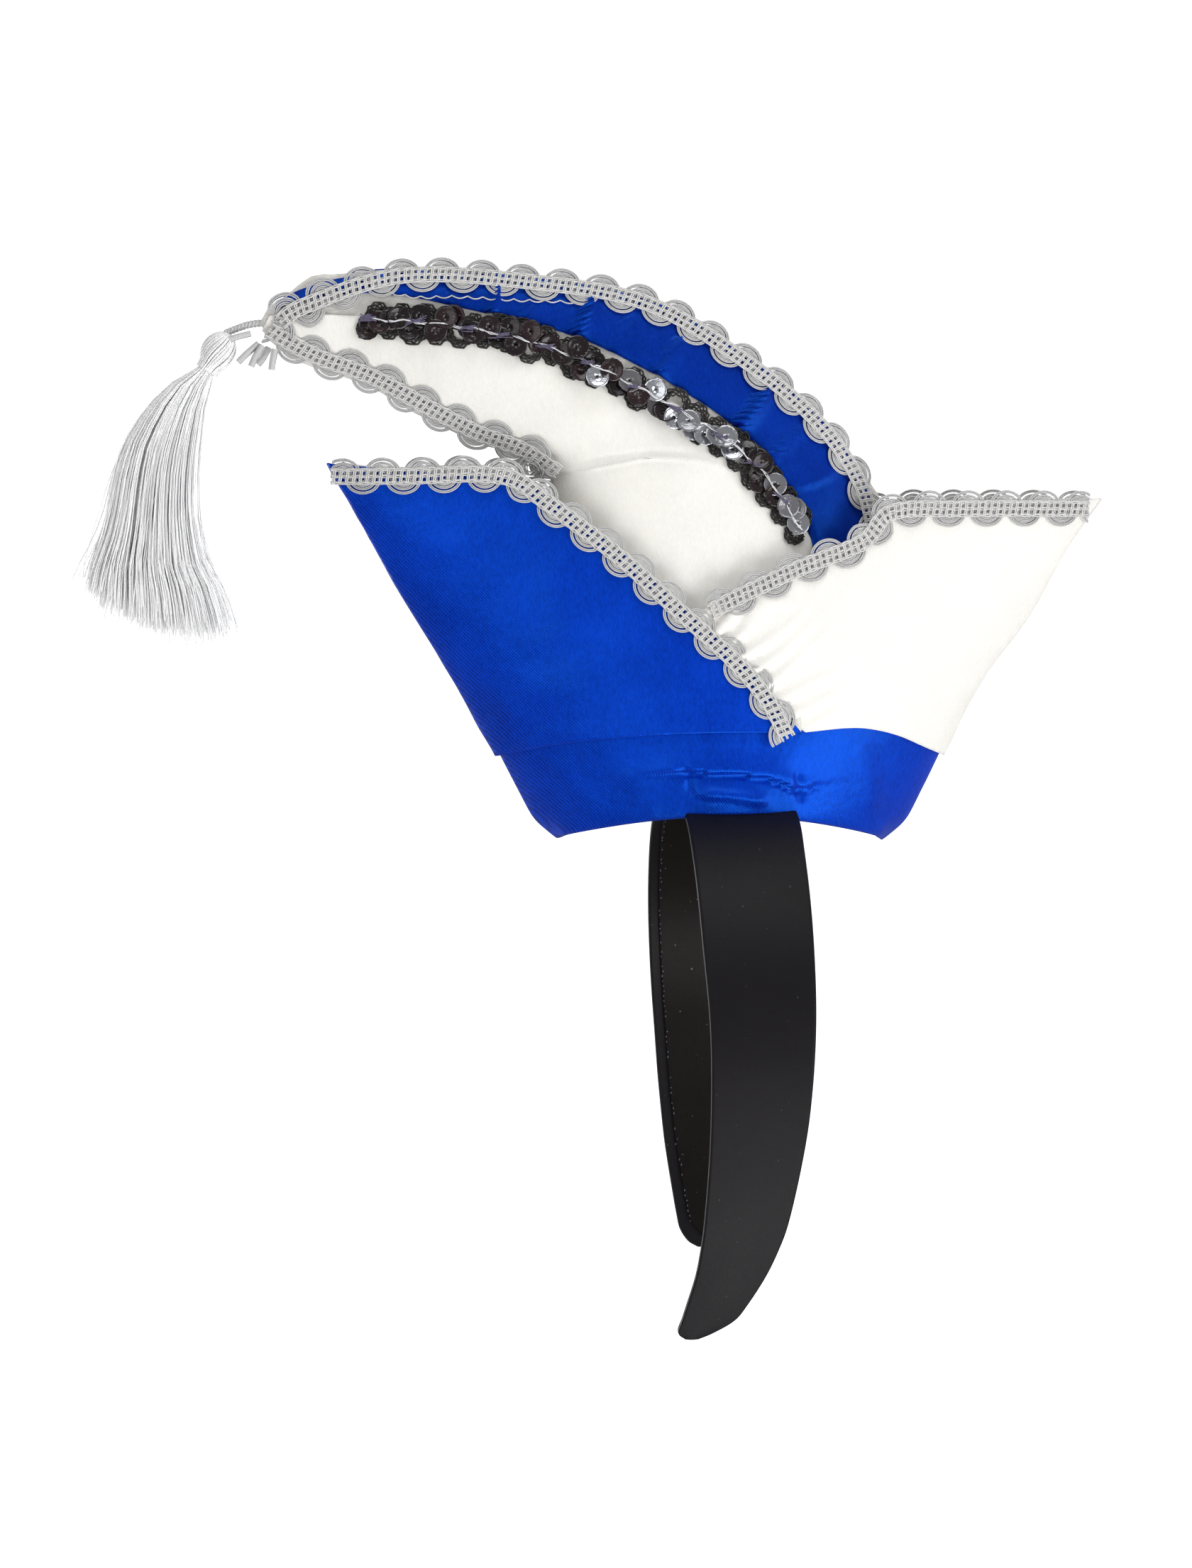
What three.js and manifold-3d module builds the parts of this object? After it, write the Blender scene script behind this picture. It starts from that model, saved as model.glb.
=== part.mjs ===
// A small carnival cap standing on a headband.
// Millimetres, +Z up. The origin is at the top of the headband's arch, on its inner face,
// where it rests on the head. The cap's horn points along -X, and -Y is its near side.

import * as THREE from 'three';
import { mergeVertices } from 'three/addons/utils/BufferGeometryUtils.js';
import Module from 'manifold-3d';

const wasm = await Module();
wasm.setup();

// Headband
const ARCH_RADIUS = 63;
const ARCH_DROP = 127;
const TIP_HALF_SPREAD = 52;
const BAND_WIDTH = 28.4;
const BAND_CENTRE = 0.8;
const BAND_THICKNESS = 2;
const BAND_EDGE = 1.2;
const NEAR_TIP_SWEEP = 16;
const LINING_THICKNESS = 0.7;
const LINING_MARGIN = 2.7;

// Crown of the cap, seen from the side
const HORN_REACH = 118;
const CREST_HEIGHT = 134.5;
const CROWN_REAR = 40.5;
const CROWN_HALF_WIDTH = 23.9;
const CROWN_LENS = 1.3;

// Flaps and the band below them, seen from the side
const FRONT_REACH = 101.2;
const FRONT_HEIGHT = 86.5;
const REAR_REACH = 98;
const REAR_HEIGHT = 77;
const RIM_EASE = 6.5;
const FRONT_RIM_DROP = 9.9;
const REAR_RIM_DROP = 11.1;
const CUFF_EASE = 0.1;
const CUFF_LENS = 1.5;
const RIM_ARCH = 8;
const BAND_TUCK = 4;

// Cloth
const FELT = 1.5;
const SATIN = 1;
const GAP = 0.3;

// Trims
const BRAID_WIDTH = 9.4;
const BRAID_THICKNESS = 1.2;
const BRAID_PITCH = 10;
const BRAID_WAIST = 0.7;
const BRAID_TILT = 1 / 6;
const BRAID_CLEARANCE = 0.48;
const EDGE_INSET = 3.2;
const FRONT_TRIM_TOP = [0.985, 0.8];
const REAR_TRIM_START = 7;
const REAR_TRIM_TOP = [0.6, 0.96];
const SEQUIN_DIAMETER = 6;
const SEQUIN_THICKNESS = 0.8;
const SEQUIN_LAP = 0.8;
const SEQUIN_STEP = 0.5;

// Tassel
const TASSEL_LENGTH = 66.8;
const TASSEL_SPREAD = 41.3;
const TASSEL_DEPTH = 14;
const TASSEL_HEAD = 5;
const LOCK_RADIUS = 4.6;
const CORD_DIAMETER = 2;
const CORD_ACROSS = 11;
const CORD_DROP = 7;
const NECK_ACROSS = 3;
const NECK_DROP = 5;

const BEYOND = 2 * Math.max(HORN_REACH, CREST_HEIGHT, ARCH_DROP);
const RING_POINTS = 18;
const CROWN_STATIONS = 15;
const CUFF_STATIONS = 11;
const LEG_STATIONS = 20;

const { Vector2, Vector3 } = THREE;

// Turns rows of numbers into objects with named columns
function named(columns, rows) {
  return rows.map((row) => Object.fromEntries(columns.map((name, i) => [name, row[i]])));
}

// How the headband narrows and drifts along each leg: reach is a share of the leg's length,
// width of the band's width, and the forward drifts of the near and far legs of the tip's sweep
const LEG_TABLE = named(['reach', 'width', 'near', 'far'], [
  [0, 1, 0, 0],
  [0.15, 1, -0.094, 0.06],
  [0.25, 0.985, -0.1, 0.1],
  [0.4, 0.961, -0.119, 0.075],
  [0.525, 0.908, -0.144, 0.05],
  [0.64, 0.856, -0.106, 0.01],
  [0.72, 0.803, -0.037, 0],
  [0.81, 0.732, 0.082, -0.02],
  [0.852, 0.683, 0.169, -0.03],
  [0.897, 0.613, 0.3, -0.035],
  [0.945, 0.528, 0.5, -0.035],
  [0.97, 0.46, 0.625, -0.03],
  [0.99, 0.31, 0.81, -0.03],
  [1, 0.12, 0.87, -0.03],
]);

// Slices of the crown, from the rim up and then along the horn. Each slice runs from a point
// on the front edge to a point on the rear edge or ridge. Lengths to the front are shares of
// the horn's reach and those to the rear of the crown's rear, heights are shares of the
// crest's height, halves of the crown's half width, and arch is a share of the rim's arch.
// Stripe and beads are shares of the way from the front edge, at which the blue stripe ends
// and the beads run
const CROWN_COLUMNS = ['frontX', 'frontZ', 'rearX', 'rearZ', 'half', 'arch', 'stripe', 'beads'];
const CROWN_TABLE = named(CROWN_COLUMNS, [
  [-0.35, -0.062, 0.99, -0.062, 1, 0.85, null, null],
  [-0.356, 0.134, 1, 0.134, 0.9, 0.4, null, null],
  [-0.36, 0.335, 1, 0.335, 0.73, 0.15, 0.8, null],
  [-0.364, 0.506, 0.985, 0.49, 0.565, 0, 0.767, 0.747],
  [-0.381, 0.625, 0.87, 0.606, 0.46, 0, 0.712, 0.667],
  [-0.458, 0.658, 0.6, 0.721, 0.375, 0, 0.705, 0.62],
  [-0.551, 0.677, 0.15, 0.834, 0.32, 0, 0.693, 0.595],
  [-0.661, 0.725, -0.161, 0.943, 0.26, 0, 0.661, 0.558],
  [-0.771, 0.777, -0.408, 0.983, 0.21, 0, 0.664, 0.525],
  [-0.881, 0.81, -0.686, 0.995, 0.16, 0, 0.74, 0.485],
  [-0.949, 0.84, -0.872, 0.972, 0.12, 0, 0.73, null],
  [-0.993, 0.877, -0.958, 0.932, 0.09, 0, 0.7, null],
]);

// Slices of the folded cuff, from the rim up past the flaps' top edges. Out and up are shares
// of the way from the rim to the flap's tip
const CUFF_TABLE = named(['frontOut', 'frontUp', 'rearOut', 'rearUp', 'half', 'arch'], [
  [0, 0, 0, 0, 1, 1],
  [0.2, 0.22, 0.21, 0.25, 0.99, 0.9],
  [0.38, 0.4, 0.375, 0.444, 0.914, 0.6],
  [0.604, 0.61, 0.61, 0.637, 0.813, 0.25],
  [0.828, 0.828, 0.805, 0.83, 0.68, 0],
  [1, 1, 1, 1, 0.582, 0],
  [1.126, 1.119, 1.153, 1.149, 0.504, 0],
]);

// Edges drawn on the side view. Lengths to the front are shares of the front flap's reach,
// those to the rear of the rear flap's, and heights of the front flap's height
const FRONT_BOTTOM = [
  [-0.568, 0.132], [-0.46, 0.166], [-0.356, 0.187], [-0.215, 0.207], [-0.04, 0.216], [0.176, 0.216],
];
const FRONT_SLANT = [
  [-0.53, 0.97], [-0.43, 0.915], [-0.25, 0.755], [-0.11, 0.605], [0.031, 0.455], [0.119, 0.335],
  [0.176, 0.216],
];
const REAR_BOTTOM = [
  [0.176, 0.216], [0.288, 0.224], [0.358, 0.218], [0.44, 0.193], [0.528, 0.149], [0.587, 0.12],
];

// The rear flap's slanting edge leaves the front flap's at a share of the front flap's height
// and ends at a corner, given as shares of the rear flap's reach and height. Its points are
// shares of the way between the two
const CROSSING = 0.58;
const REAR_CORNER = [0.398, 0.978];
const REAR_SLANT = [[0, 0], [0.2, 0.2], [0.51, 0.465], [0.85, 0.72], [1, 1]];

// The panels under the flaps end at a share of the front flap's height
const PANEL_FOOT = 0.45;

// Locks of the tassel, each from the neck to its free end. Across is a share of the tassel's
// spread, to the front, down is a share of its length, and out is a share of its depth
const LOCK_TABLE = named(['midAcross', 'endAcross', 'endDown', 'out', 'size'], [
  [0.5, 0.66, 0.87, -0.12, 1],
  [0.42, 0.5, 0.9, 0.3, 1],
  [0.34, 0.36, 0.95, -0.36, 1],
  [0.25, 0.18, 1, 0.14, 1],
  [0.16, -0.05, 0.95, -0.2, 1],
  [0.2, 0.06, 0.96, 0.38, 1],
  [0.52, 0.98, 0.79, 0.05, 0.4],
]);

// How thick a lock is from its head to its end, where it leaves the bundle, where the cord
// leaves the horn's blunt end, and the shape of the head
const LOCK_PROFILE = [0.55, 0.75, 1, 1, 0.4];
const LOCK_PARTING = 0.35;
const HOOK_PLACE = 0.15;
const HEAD_SQUASH = 0.8;
const HEAD_STRETCH = 1.1;

// Flips the faces of a geometry where they point inward
function facingOut(geometry) {
  const p = geometry.attributes.position;
  const index = geometry.index.array;
  const [a, b, c] = [new Vector3(), new Vector3(), new Vector3()];
  let volume = 0;
  for (let i = 0; i < index.length; i += 3) {
    a.fromBufferAttribute(p, index[i]);
    b.fromBufferAttribute(p, index[i + 1]);
    c.fromBufferAttribute(p, index[i + 2]);
    volume += a.dot(b.cross(c));
  }
  if (volume < 0) {
    index.reverse();
  }
  return geometry;
}

// Closes a run of rings, each with as many points as the next, into one skin. The faces of
// the first half of each ring are split the other way, so that a skin is alike on both sides
function skin(rings) {
  const sides = rings[0].length;
  const positions = rings.flat().flatMap((p) => p.toArray());
  const faces = [];
  for (let i = 0; i + 1 < rings.length; i += 1) {
    for (let j = 0; j < sides; j += 1) {
      const here = i * sides + j;
      const next = i * sides + ((j + 1) % sides);
      if (j < sides / 2) {
        faces.push(here, next, next + sides, here, next + sides, here + sides);
      } else {
        faces.push(here, next, here + sides, next, next + sides, here + sides);
      }
    }
  }
  [0, rings.length - 1].forEach((end) => {
    const middle = new Vector3();
    rings[end].forEach((p) => middle.addScaledVector(p, 1 / sides));
    const hub = positions.length / 3;
    positions.push(...middle.toArray());
    for (let j = 0; j < sides; j += 1) {
      const here = end * sides + j;
      const next = end * sides + ((j + 1) % sides);
      faces.push(...(end === 0 ? [hub, next, here] : [hub, here, next]));
    }
  });
  const geometry = new THREE.BufferGeometry();
  geometry.setAttribute('position', new THREE.Float32BufferAttribute(positions, 3));
  geometry.setIndex(faces);
  return facingOut(geometry);
}

// Joins and cuts work on solids; these two turn a geometry into a solid and back
function solid(geometry) {
  const plain = geometry.clone();
  plain.deleteAttribute('normal');
  plain.deleteAttribute('uv');
  const merged = mergeVertices(plain);
  return new wasm.Manifold(new wasm.Mesh({
    numProp: 3,
    vertProperties: new Float32Array(merged.attributes.position.array),
    triVerts: new Uint32Array(merged.index.array),
  }));
}

function surfaceOf(body) {
  const mesh = body.getMesh();
  const geometry = new THREE.BufferGeometry();
  geometry.setAttribute('position', new THREE.BufferAttribute(mesh.vertProperties, 3));
  geometry.setIndex(new THREE.BufferAttribute(mesh.triVerts, 1));
  return geometry;
}

// The same piece on the far side
function mirrored(geometry) {
  const copy = geometry.clone();
  copy.scale(1, -1, 1);
  return facingOut(copy);
}

// Reads a table between its rows, at a place counted in rows
function between(table, place) {
  const i = Math.min(Math.floor(place), table.length - 2);
  const f = place - i;
  const last = table.length - 1;
  const [before, from, to, after] = [-1, 0, 1, 2].map((k) => table[THREE.MathUtils.clamp(i + k, 0, last)]);
  const row = {};
  Object.keys(from).forEach((key) => {
    const slopeIn = (to[key] - before[key]) / 2;
    const slopeOut = (after[key] - from[key]) / 2;
    const rise = from[key] - to[key];
    const bend = (2 * rise + slopeIn + slopeOut) * f - (3 * rise + 2 * slopeIn + slopeOut);
    row[key] = from[key] + f * (slopeIn + f * bend);
  });
  return row;
}

// One slice of a folded shell as a ring. Its ends are the folds, and grow moves it outward;
// at a sharp fold the end moves further than the sides, as a mitre does. A lens of 1 makes a
// slice round, a higher one sharp
function slice(row, lens, grow, rise) {
  const front = new Vector2(row.frontX, row.frontZ);
  const rear = new Vector2(row.rearX, row.rearZ);
  const along = rear.clone().sub(front);
  const semi = along.length() / 2;
  const step = 2 * Math.PI / RING_POINTS;
  const foldSlope = Math.sin(step) ** lens * row.half / ((1 - Math.cos(step)) * semi);
  const mitre = 1 / Math.sin(Math.atan(foldSlope));
  const reach = semi + grow * mitre;
  along.normalize();
  const middle = front.add(rear).multiplyScalar(0.5);
  return Array.from({ length: RING_POINTS }, (_, j) => {
    const turn = step * j;
    const share = Math.cos(turn);
    const y = (row.half + grow) * Math.sign(Math.sin(turn)) * Math.abs(Math.sin(turn)) ** lens;
    const lift = row.arch * (1 - Math.abs(share) ** 2) + rise;
    return new Vector3(middle.x + along.x * reach * share, y, middle.y + along.y * reach * share + lift);
  });
}

// A closed solid through a table's slices. Where it is a hollow to cut away, open extends it
// past the first slice, and openTop past the last one
function folded(table, lens, stations, grow, open = 0, openTop = 0) {
  const places = Array.from({ length: stations }, (_, i) => (table.length - 1) * i / (stations - 1));
  const rows = places.map((place) => between(table, place)).filter((row) => row.half + grow > FELT / 2);
  const rings = rows.map((row) => slice(row, lens, grow, 0));
  if (open) {
    rings.unshift(slice(rows[0], lens, grow, -open));
  }
  if (openTop) {
    rings.push(slice(rows[rows.length - 1], lens, grow, openTop));
  }
  return skin(rings);
}

// A length to the front or to the rear, from its share of what reaches that way
function sideways(share, front, rear) {
  return share * (share < 0 ? front : rear);
}

// Both tables in millimetres. The cuff's rim stands off the crown's by an ease
const CROWN_ROWS = CROWN_TABLE.map((row) => ({
  frontX: sideways(row.frontX, HORN_REACH, CROWN_REAR),
  frontZ: row.frontZ * CREST_HEIGHT,
  rearX: sideways(row.rearX, HORN_REACH, CROWN_REAR),
  rearZ: row.rearZ * CREST_HEIGHT,
  half: row.half * CROWN_HALF_WIDTH,
  arch: row.arch * RIM_ARCH,
}));
const CUFF_HALF_WIDTH = CROWN_HALF_WIDTH + CUFF_EASE + FELT + GAP + SATIN;
const FRONT_RIM = CROWN_ROWS[0].frontX - RIM_EASE;
const REAR_RIM = CROWN_ROWS[0].rearX + RIM_EASE;
const CUFF_ROWS = CUFF_TABLE.map((row) => ({
  frontX: THREE.MathUtils.lerp(FRONT_RIM, -FRONT_REACH, row.frontOut),
  frontZ: THREE.MathUtils.lerp(-FRONT_RIM_DROP, FRONT_HEIGHT, row.frontUp),
  rearX: THREE.MathUtils.lerp(REAR_RIM, REAR_REACH, row.rearOut),
  rearZ: THREE.MathUtils.lerp(-REAR_RIM_DROP, REAR_HEIGHT, row.rearUp),
  half: row.half * CUFF_HALF_WIDTH,
  arch: row.arch * RIM_ARCH,
}));

function crown(grow, open) {
  return folded(CROWN_ROWS, CROWN_LENS, CROWN_STATIONS, grow, open);
}

function cuff(grow, open, openTop) {
  return folded(CUFF_ROWS, CUFF_LENS, CUFF_STATIONS, grow, open, openTop);
}

// A layer of cloth between two depths of the crown or the cuff, open below
function crownLayer(outer, inner) {
  return solid(crown(outer)).subtract(solid(crown(inner, CREST_HEIGHT / 10)));
}

function cuffLayer(outer, inner) {
  return solid(cuff(outer)).subtract(solid(cuff(inner, FRONT_HEIGHT / 10, FRONT_HEIGHT / 10)));
}

// Points on the side view, from shares of the flaps' sizes
function drawn(shares) {
  return shares.map(([x, z]) => new Vector2(sideways(x, FRONT_REACH, REAR_REACH), z * FRONT_HEIGHT));
}

// A line on the side view over the crown, from its column of shares
function acrossCrown(column) {
  const points = CROWN_ROWS.map((row, i) => {
    const share = CROWN_TABLE[i][column];
    const [front, rear] = [new Vector2(row.frontX, row.frontZ), new Vector2(row.rearX, row.rearZ)];
    return share === null ? null : front.lerp(rear, share);
  });
  return points.filter((p) => p !== null);
}

// The place where a falling run of points comes down to a height
function atHeight(points, height) {
  const i = points.findIndex((p) => p.y <= height);
  const [above, below] = [points[i - 1], points[i]];
  return above.clone().lerp(below, (above.y - height) / (above.y - below.y));
}

// A run of points moved sideways, to the left of its direction
function beside(points, distance) {
  return points.map((p, i) => {
    const before = points[Math.max(i - 1, 0)];
    const after = points[Math.min(i + 1, points.length - 1)];
    const along = after.clone().sub(before).normalize();
    return new Vector2(p.x - along.y * distance, p.y + along.x * distance);
  });
}

// A run of points that starts a little later
function shortened(points, distance) {
  const start = points[0].clone().sub(points[1]).setLength(-distance).add(points[0]);
  return [start, ...points.slice(1)];
}

// A cutter with a side view outline, from one Y to another
function cutter(points, fromY = -BEYOND, toY = BEYOND) {
  const outline = new THREE.Shape(points);
  const block = new THREE.ExtrudeGeometry(outline, { depth: toY - fromY, bevelEnabled: false });
  block.rotateX(Math.PI / 2);
  block.translate(0, toY, 0);
  return solid(block);
}

// Half of the width of a skin at a place on the side view, or null off it
function widths(geometry) {
  const mesh = new THREE.Mesh(geometry, new THREE.MeshBasicMaterial());
  geometry.computeBoundingSphere();
  const caster = new THREE.Raycaster();
  const towards = new Vector3(0, 1, 0);
  return (x, z) => {
    caster.set(new Vector3(x, -BEYOND, z), towards);
    const hit = caster.intersectObject(mesh)[0];
    return hit ? -hit.point.y : null;
  };
}

// The headband's path: a quarter of a circle each side of the top, then a gentler arc to the tip
const LEG_ARC_RADIUS = ((ARCH_DROP - ARCH_RADIUS) ** 2 + (ARCH_RADIUS - TIP_HALF_SPREAD) ** 2)
  / (2 * (ARCH_RADIUS - TIP_HALF_SPREAD));
const ARCH_QUARTER = ARCH_RADIUS * Math.PI / 2;
const LEG_LENGTH = ARCH_QUARTER + LEG_ARC_RADIUS * Math.asin((ARCH_DROP - ARCH_RADIUS) / LEG_ARC_RADIUS);

function onArch(distance, lift) {
  if (distance <= ARCH_QUARTER) {
    const turn = distance / ARCH_RADIUS;
    const r = ARCH_RADIUS + lift;
    return new Vector2(r * Math.sin(turn), r * Math.cos(turn) - ARCH_RADIUS);
  }
  const turn = (distance - ARCH_QUARTER) / LEG_ARC_RADIUS;
  const r = LEG_ARC_RADIUS + lift;
  return new Vector2(ARCH_RADIUS - LEG_ARC_RADIUS + r * Math.cos(turn), -ARCH_RADIUS - r * Math.sin(turn));
}

function legRow(reach) {
  const next = Math.max(1, LEG_TABLE.findIndex((row) => row.reach >= reach));
  const [from, to] = [LEG_TABLE[next - 1], LEG_TABLE[next]];
  const f = (reach - from.reach) / (to.reach - from.reach);
  return Object.fromEntries(Object.keys(from).map((key) => [key, from[key] + (to[key] - from[key]) * f]));
}

// A strip bent into the arch, between two heights above its inner face
function archStrip(inner, outer, margin, edge, shorten) {
  const rings = [];
  for (let i = -LEG_STATIONS; i <= LEG_STATIONS; i += 1) {
    const reach = Math.sin(Math.PI / 2 * Math.abs(i) / LEG_STATIONS);
    const row = legRow(reach);
    const side = i < 0 ? -1 : 1;
    const centre = BAND_CENTRE - NEAR_TIP_SWEEP * (i < 0 ? row.near : row.far);
    const half = Math.max(BAND_WIDTH * row.width / 2 - margin, edge + GAP);
    const at = (across, lift) => {
      const p = onArch(reach * (LEG_LENGTH - shorten), lift);
      return new Vector3(centre + across, side * p.x, p.y);
    };
    const middle = (inner + outer) / 2;
    rings.push([
      at(-half, middle), at(-half + edge, inner), at(half - edge, inner),
      at(half, middle), at(half - edge, outer), at(-half + edge, outer),
    ]);
  }
  return skin(rings);
}

const BAND_INNER = LINING_THICKNESS + GAP;
const BAND_OUTER = BAND_INNER + BAND_THICKNESS;

function headband() {
  return archStrip(BAND_INNER, BAND_OUTER, 0, BAND_EDGE, 0);
}

function headbandLining() {
  return archStrip(0, LINING_THICKNESS, LINING_MARGIN, LINING_THICKNESS / 3, LINING_MARGIN);
}

// The rim's cloth sits over the arch with this cut out of it
const SADDLE = solid(archStrip(-BAND_THICKNESS, BAND_OUTER + GAP, -GAP, BAND_EDGE / 4, 0));

// Depths of the layers, measured from the felt crown's and from the flaps' outer faces
const CREST_SATIN = [GAP + SATIN, GAP];
const FLAP_SATIN = [0, -SATIN];
const FLAP_FELT = [-SATIN - GAP, -SATIN - GAP - FELT];
const BASE_SATIN = [-SATIN - GAP, -SATIN - GAP - SATIN];

// Side view outlines of the flaps. They run past the folds, which lie inside them
const PAST_FOLD = 1.3;
const FRONT_EDGE = drawn(FRONT_SLANT);
const FRONT_TOP = new Vector2(-FRONT_REACH * PAST_FOLD, FRONT_HEIGHT);
const FRONT_HEM = drawn(FRONT_BOTTOM);
const REAR_TOP = new Vector2(REAR_REACH * PAST_FOLD, REAR_HEIGHT);
const REAR_HEM = drawn(REAR_BOTTOM);
const REAR_START = atHeight(FRONT_EDGE, CROSSING * FRONT_HEIGHT);
const REAR_END = new Vector2(REAR_CORNER[0] * REAR_REACH, REAR_CORNER[1] * REAR_HEIGHT);
const REAR_EDGE = REAR_SLANT.map(([out, up]) => new Vector2(
  THREE.MathUtils.lerp(REAR_START.x, REAR_END.x, out),
  THREE.MathUtils.lerp(REAR_START.y, REAR_END.y, up),
));

function frontOutline(raise) {
  const hem = FRONT_HEM.map((p) => new Vector2(p.x, p.y + raise));
  const corner = hem[0].clone().setX(-FRONT_REACH * PAST_FOLD);
  const foot = hem.pop();
  return [corner, ...hem, foot, ...[...FRONT_EDGE].reverse().filter((p) => p.y > foot.y + GAP), FRONT_TOP];
}

function rearOutline(raise) {
  const hem = REAR_HEM.map((p) => new Vector2(p.x + GAP * 2, p.y + raise));
  const corner = hem[hem.length - 1].clone().setX(REAR_REACH * PAST_FOLD);
  const [floor, ceiling] = [hem[0].y + GAP, REAR_EDGE[0].y - GAP];
  const shared = beside(FRONT_EDGE, GAP * 2).filter((p) => p.y > floor && p.y < ceiling);
  return [...hem, corner, REAR_TOP, ...[...REAR_EDGE].reverse(), ...shared];
}

function frontFlap() {
  return cuffLayer(...FLAP_SATIN).intersect(cutter(frontOutline(0)));
}

// The felt inside the flaps keeps clear of the satin on the crown
const CREST_ROOM = solid(crown(CREST_SATIN[0] + GAP));

function frontFlapFelt() {
  return cuffLayer(...FLAP_FELT).intersect(cutter(frontOutline(BAND_TUCK + GAP))).subtract(CREST_ROOM);
}

function rearFlap() {
  return cuffLayer(...FLAP_SATIN).intersect(cutter(rearOutline(0)));
}

function rearFlapFelt() {
  return cuffLayer(...FLAP_FELT).intersect(cutter(rearOutline(BAND_TUCK + GAP))).subtract(CREST_ROOM);
}

function baseBand() {
  const top = [...FRONT_HEM, ...REAR_HEM.slice(1)].map((p) => new Vector2(p.x, p.y + BAND_TUCK));
  const left = top[0].clone().setX(-BEYOND);
  const right = top[top.length - 1].clone().setX(BEYOND);
  const below = [new Vector2(BEYOND, -BEYOND), new Vector2(-BEYOND, -BEYOND)];
  return cuffLayer(...BASE_SATIN).intersect(cutter([left, ...top, right, ...below])).subtract(SADDLE);
}

// The crown's two sides of felt meet at the ridge and at the front
function crownFelt(fromY, toY) {
  const [low, high] = [new Vector2(-BEYOND, -BEYOND), new Vector2(BEYOND, BEYOND)];
  const room = cutter([low, new Vector2(high.x, low.y), high, new Vector2(low.x, high.y)], fromY, toY);
  return crownLayer(0, -FELT).subtract(SADDLE).intersect(room);
}

// The satin on the crown is cut along one line: the stripe above it, the panels below
const STRIPE_EDGE = acrossCrown('stripe').reverse();

function crestStripe() {
  const start = new Vector2(-BEYOND, STRIPE_EDGE[0].y);
  const end = STRIPE_EDGE[STRIPE_EDGE.length - 1];
  const above = [new Vector2(BEYOND, end.y), new Vector2(BEYOND, BEYOND), new Vector2(-BEYOND, BEYOND)];
  return crownLayer(...CREST_SATIN).intersect(cutter([start, ...STRIPE_EDGE, ...above]));
}

function crestPanel() {
  const foot = FRONT_HEIGHT * PANEL_FOOT;
  const edge = beside(STRIPE_EDGE, -GAP * 2).filter((p) => p.y > foot + GAP);
  const below = [new Vector2(BEYOND, foot), new Vector2(-BEYOND, foot)];
  const start = new Vector2(-BEYOND, edge[0].y);
  const end = new Vector2(BEYOND, edge[edge.length - 1].y);
  return crownLayer(...CREST_SATIN).intersect(cutter([start, ...edge, end, ...below], -BEYOND, -SATIN));
}

// A smooth route on the side view, as points a set distance apart
function route(points, step) {
  const curve = new THREE.SplineCurve(points);
  const count = Math.round(curve.getLength() / step);
  return curve.getSpacedPoints(count);
}

// Scroll braid on the near side: a flat strip that follows a route over a skin, and whose
// edges swell in turn
function braid(points, width) {
  const steps = 3;
  const stations = route(points, BRAID_PITCH / steps);
  const rings = stations.map((p, i) => {
    const before = stations[Math.max(i - 1, 0)];
    const after = stations[Math.min(i + 1, stations.length - 1)];
    const along = after.clone().sub(before).normalize();
    const across = new Vector2(-along.y, along.x);
    const swell = Math.cos(2 * Math.PI * i / steps);
    const reach = [1, -1].map((side) => {
      const share = (1 + BRAID_WAIST) / 2 + side * swell * (1 - BRAID_WAIST) / 2;
      return p.clone().addScaledVector(across, side * share * BRAID_WIDTH / 2);
    });
    const middle = width(p.x, p.y);
    const depths = reach.map((q) => Math.max(width(q.x, q.y) ?? 0, middle - BRAID_WIDTH * BRAID_TILT));
    const clear = [0.25, 0.5, 0.75].map((share) => {
      const q = reach[0].clone().lerp(reach[1], share);
      return (width(q.x, q.y) ?? 0) - THREE.MathUtils.lerp(depths[0], depths[1], share);
    });
    const lift = Math.max(0, ...clear) + BRAID_CLEARANCE;
    const at = (k, height) => new Vector3(reach[k].x, -(depths[k] + lift + height), reach[k].y);
    return [at(0, 0), at(1, 0), at(1, BRAID_THICKNESS), at(0, BRAID_THICKNESS)];
  });
  return skin(rings);
}

// Sequins on the near side: ten-sided discs, each lapped over the next one, as one strip
// whose edges follow the discs
function sequinString(width) {
  const curve = new THREE.SplineCurve(acrossCrown('beads').reverse());
  const length = curve.getLength();
  const pitch = SEQUIN_DIAMETER - SEQUIN_LAP;
  const radius = SEQUIN_DIAMETER / 2;
  const turns = [4, 3, 2, 1].map((k) => k * Math.PI / 5);
  const corners = turns.map((turn) => new Vector2(radius * Math.cos(turn), radius * Math.sin(turn)));
  const rings = [];
  for (let middle = pitch / 2; middle + pitch / 2 < length; middle += pitch) {
    corners.forEach((corner) => {
      const share = (middle + corner.x) / length;
      const p = curve.getPointAt(share);
      const along = curve.getTangentAt(share);
      const across = new Vector2(-along.y, along.x);
      const step = SEQUIN_STEP * (corner.x / radius + 1) / 2;
      const at = (side, height) => {
        const q = p.clone().addScaledVector(across, side * corner.y);
        return new Vector3(q.x, -(width(q.x, q.y) + 2 * GAP + step + height), q.y);
      };
      rings.push([at(1, 0), at(-1, 0), at(-1, SEQUIN_THICKNESS), at(1, SEQUIN_THICKNESS)]);
    });
  }
  return skin(rings);
}

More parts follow.
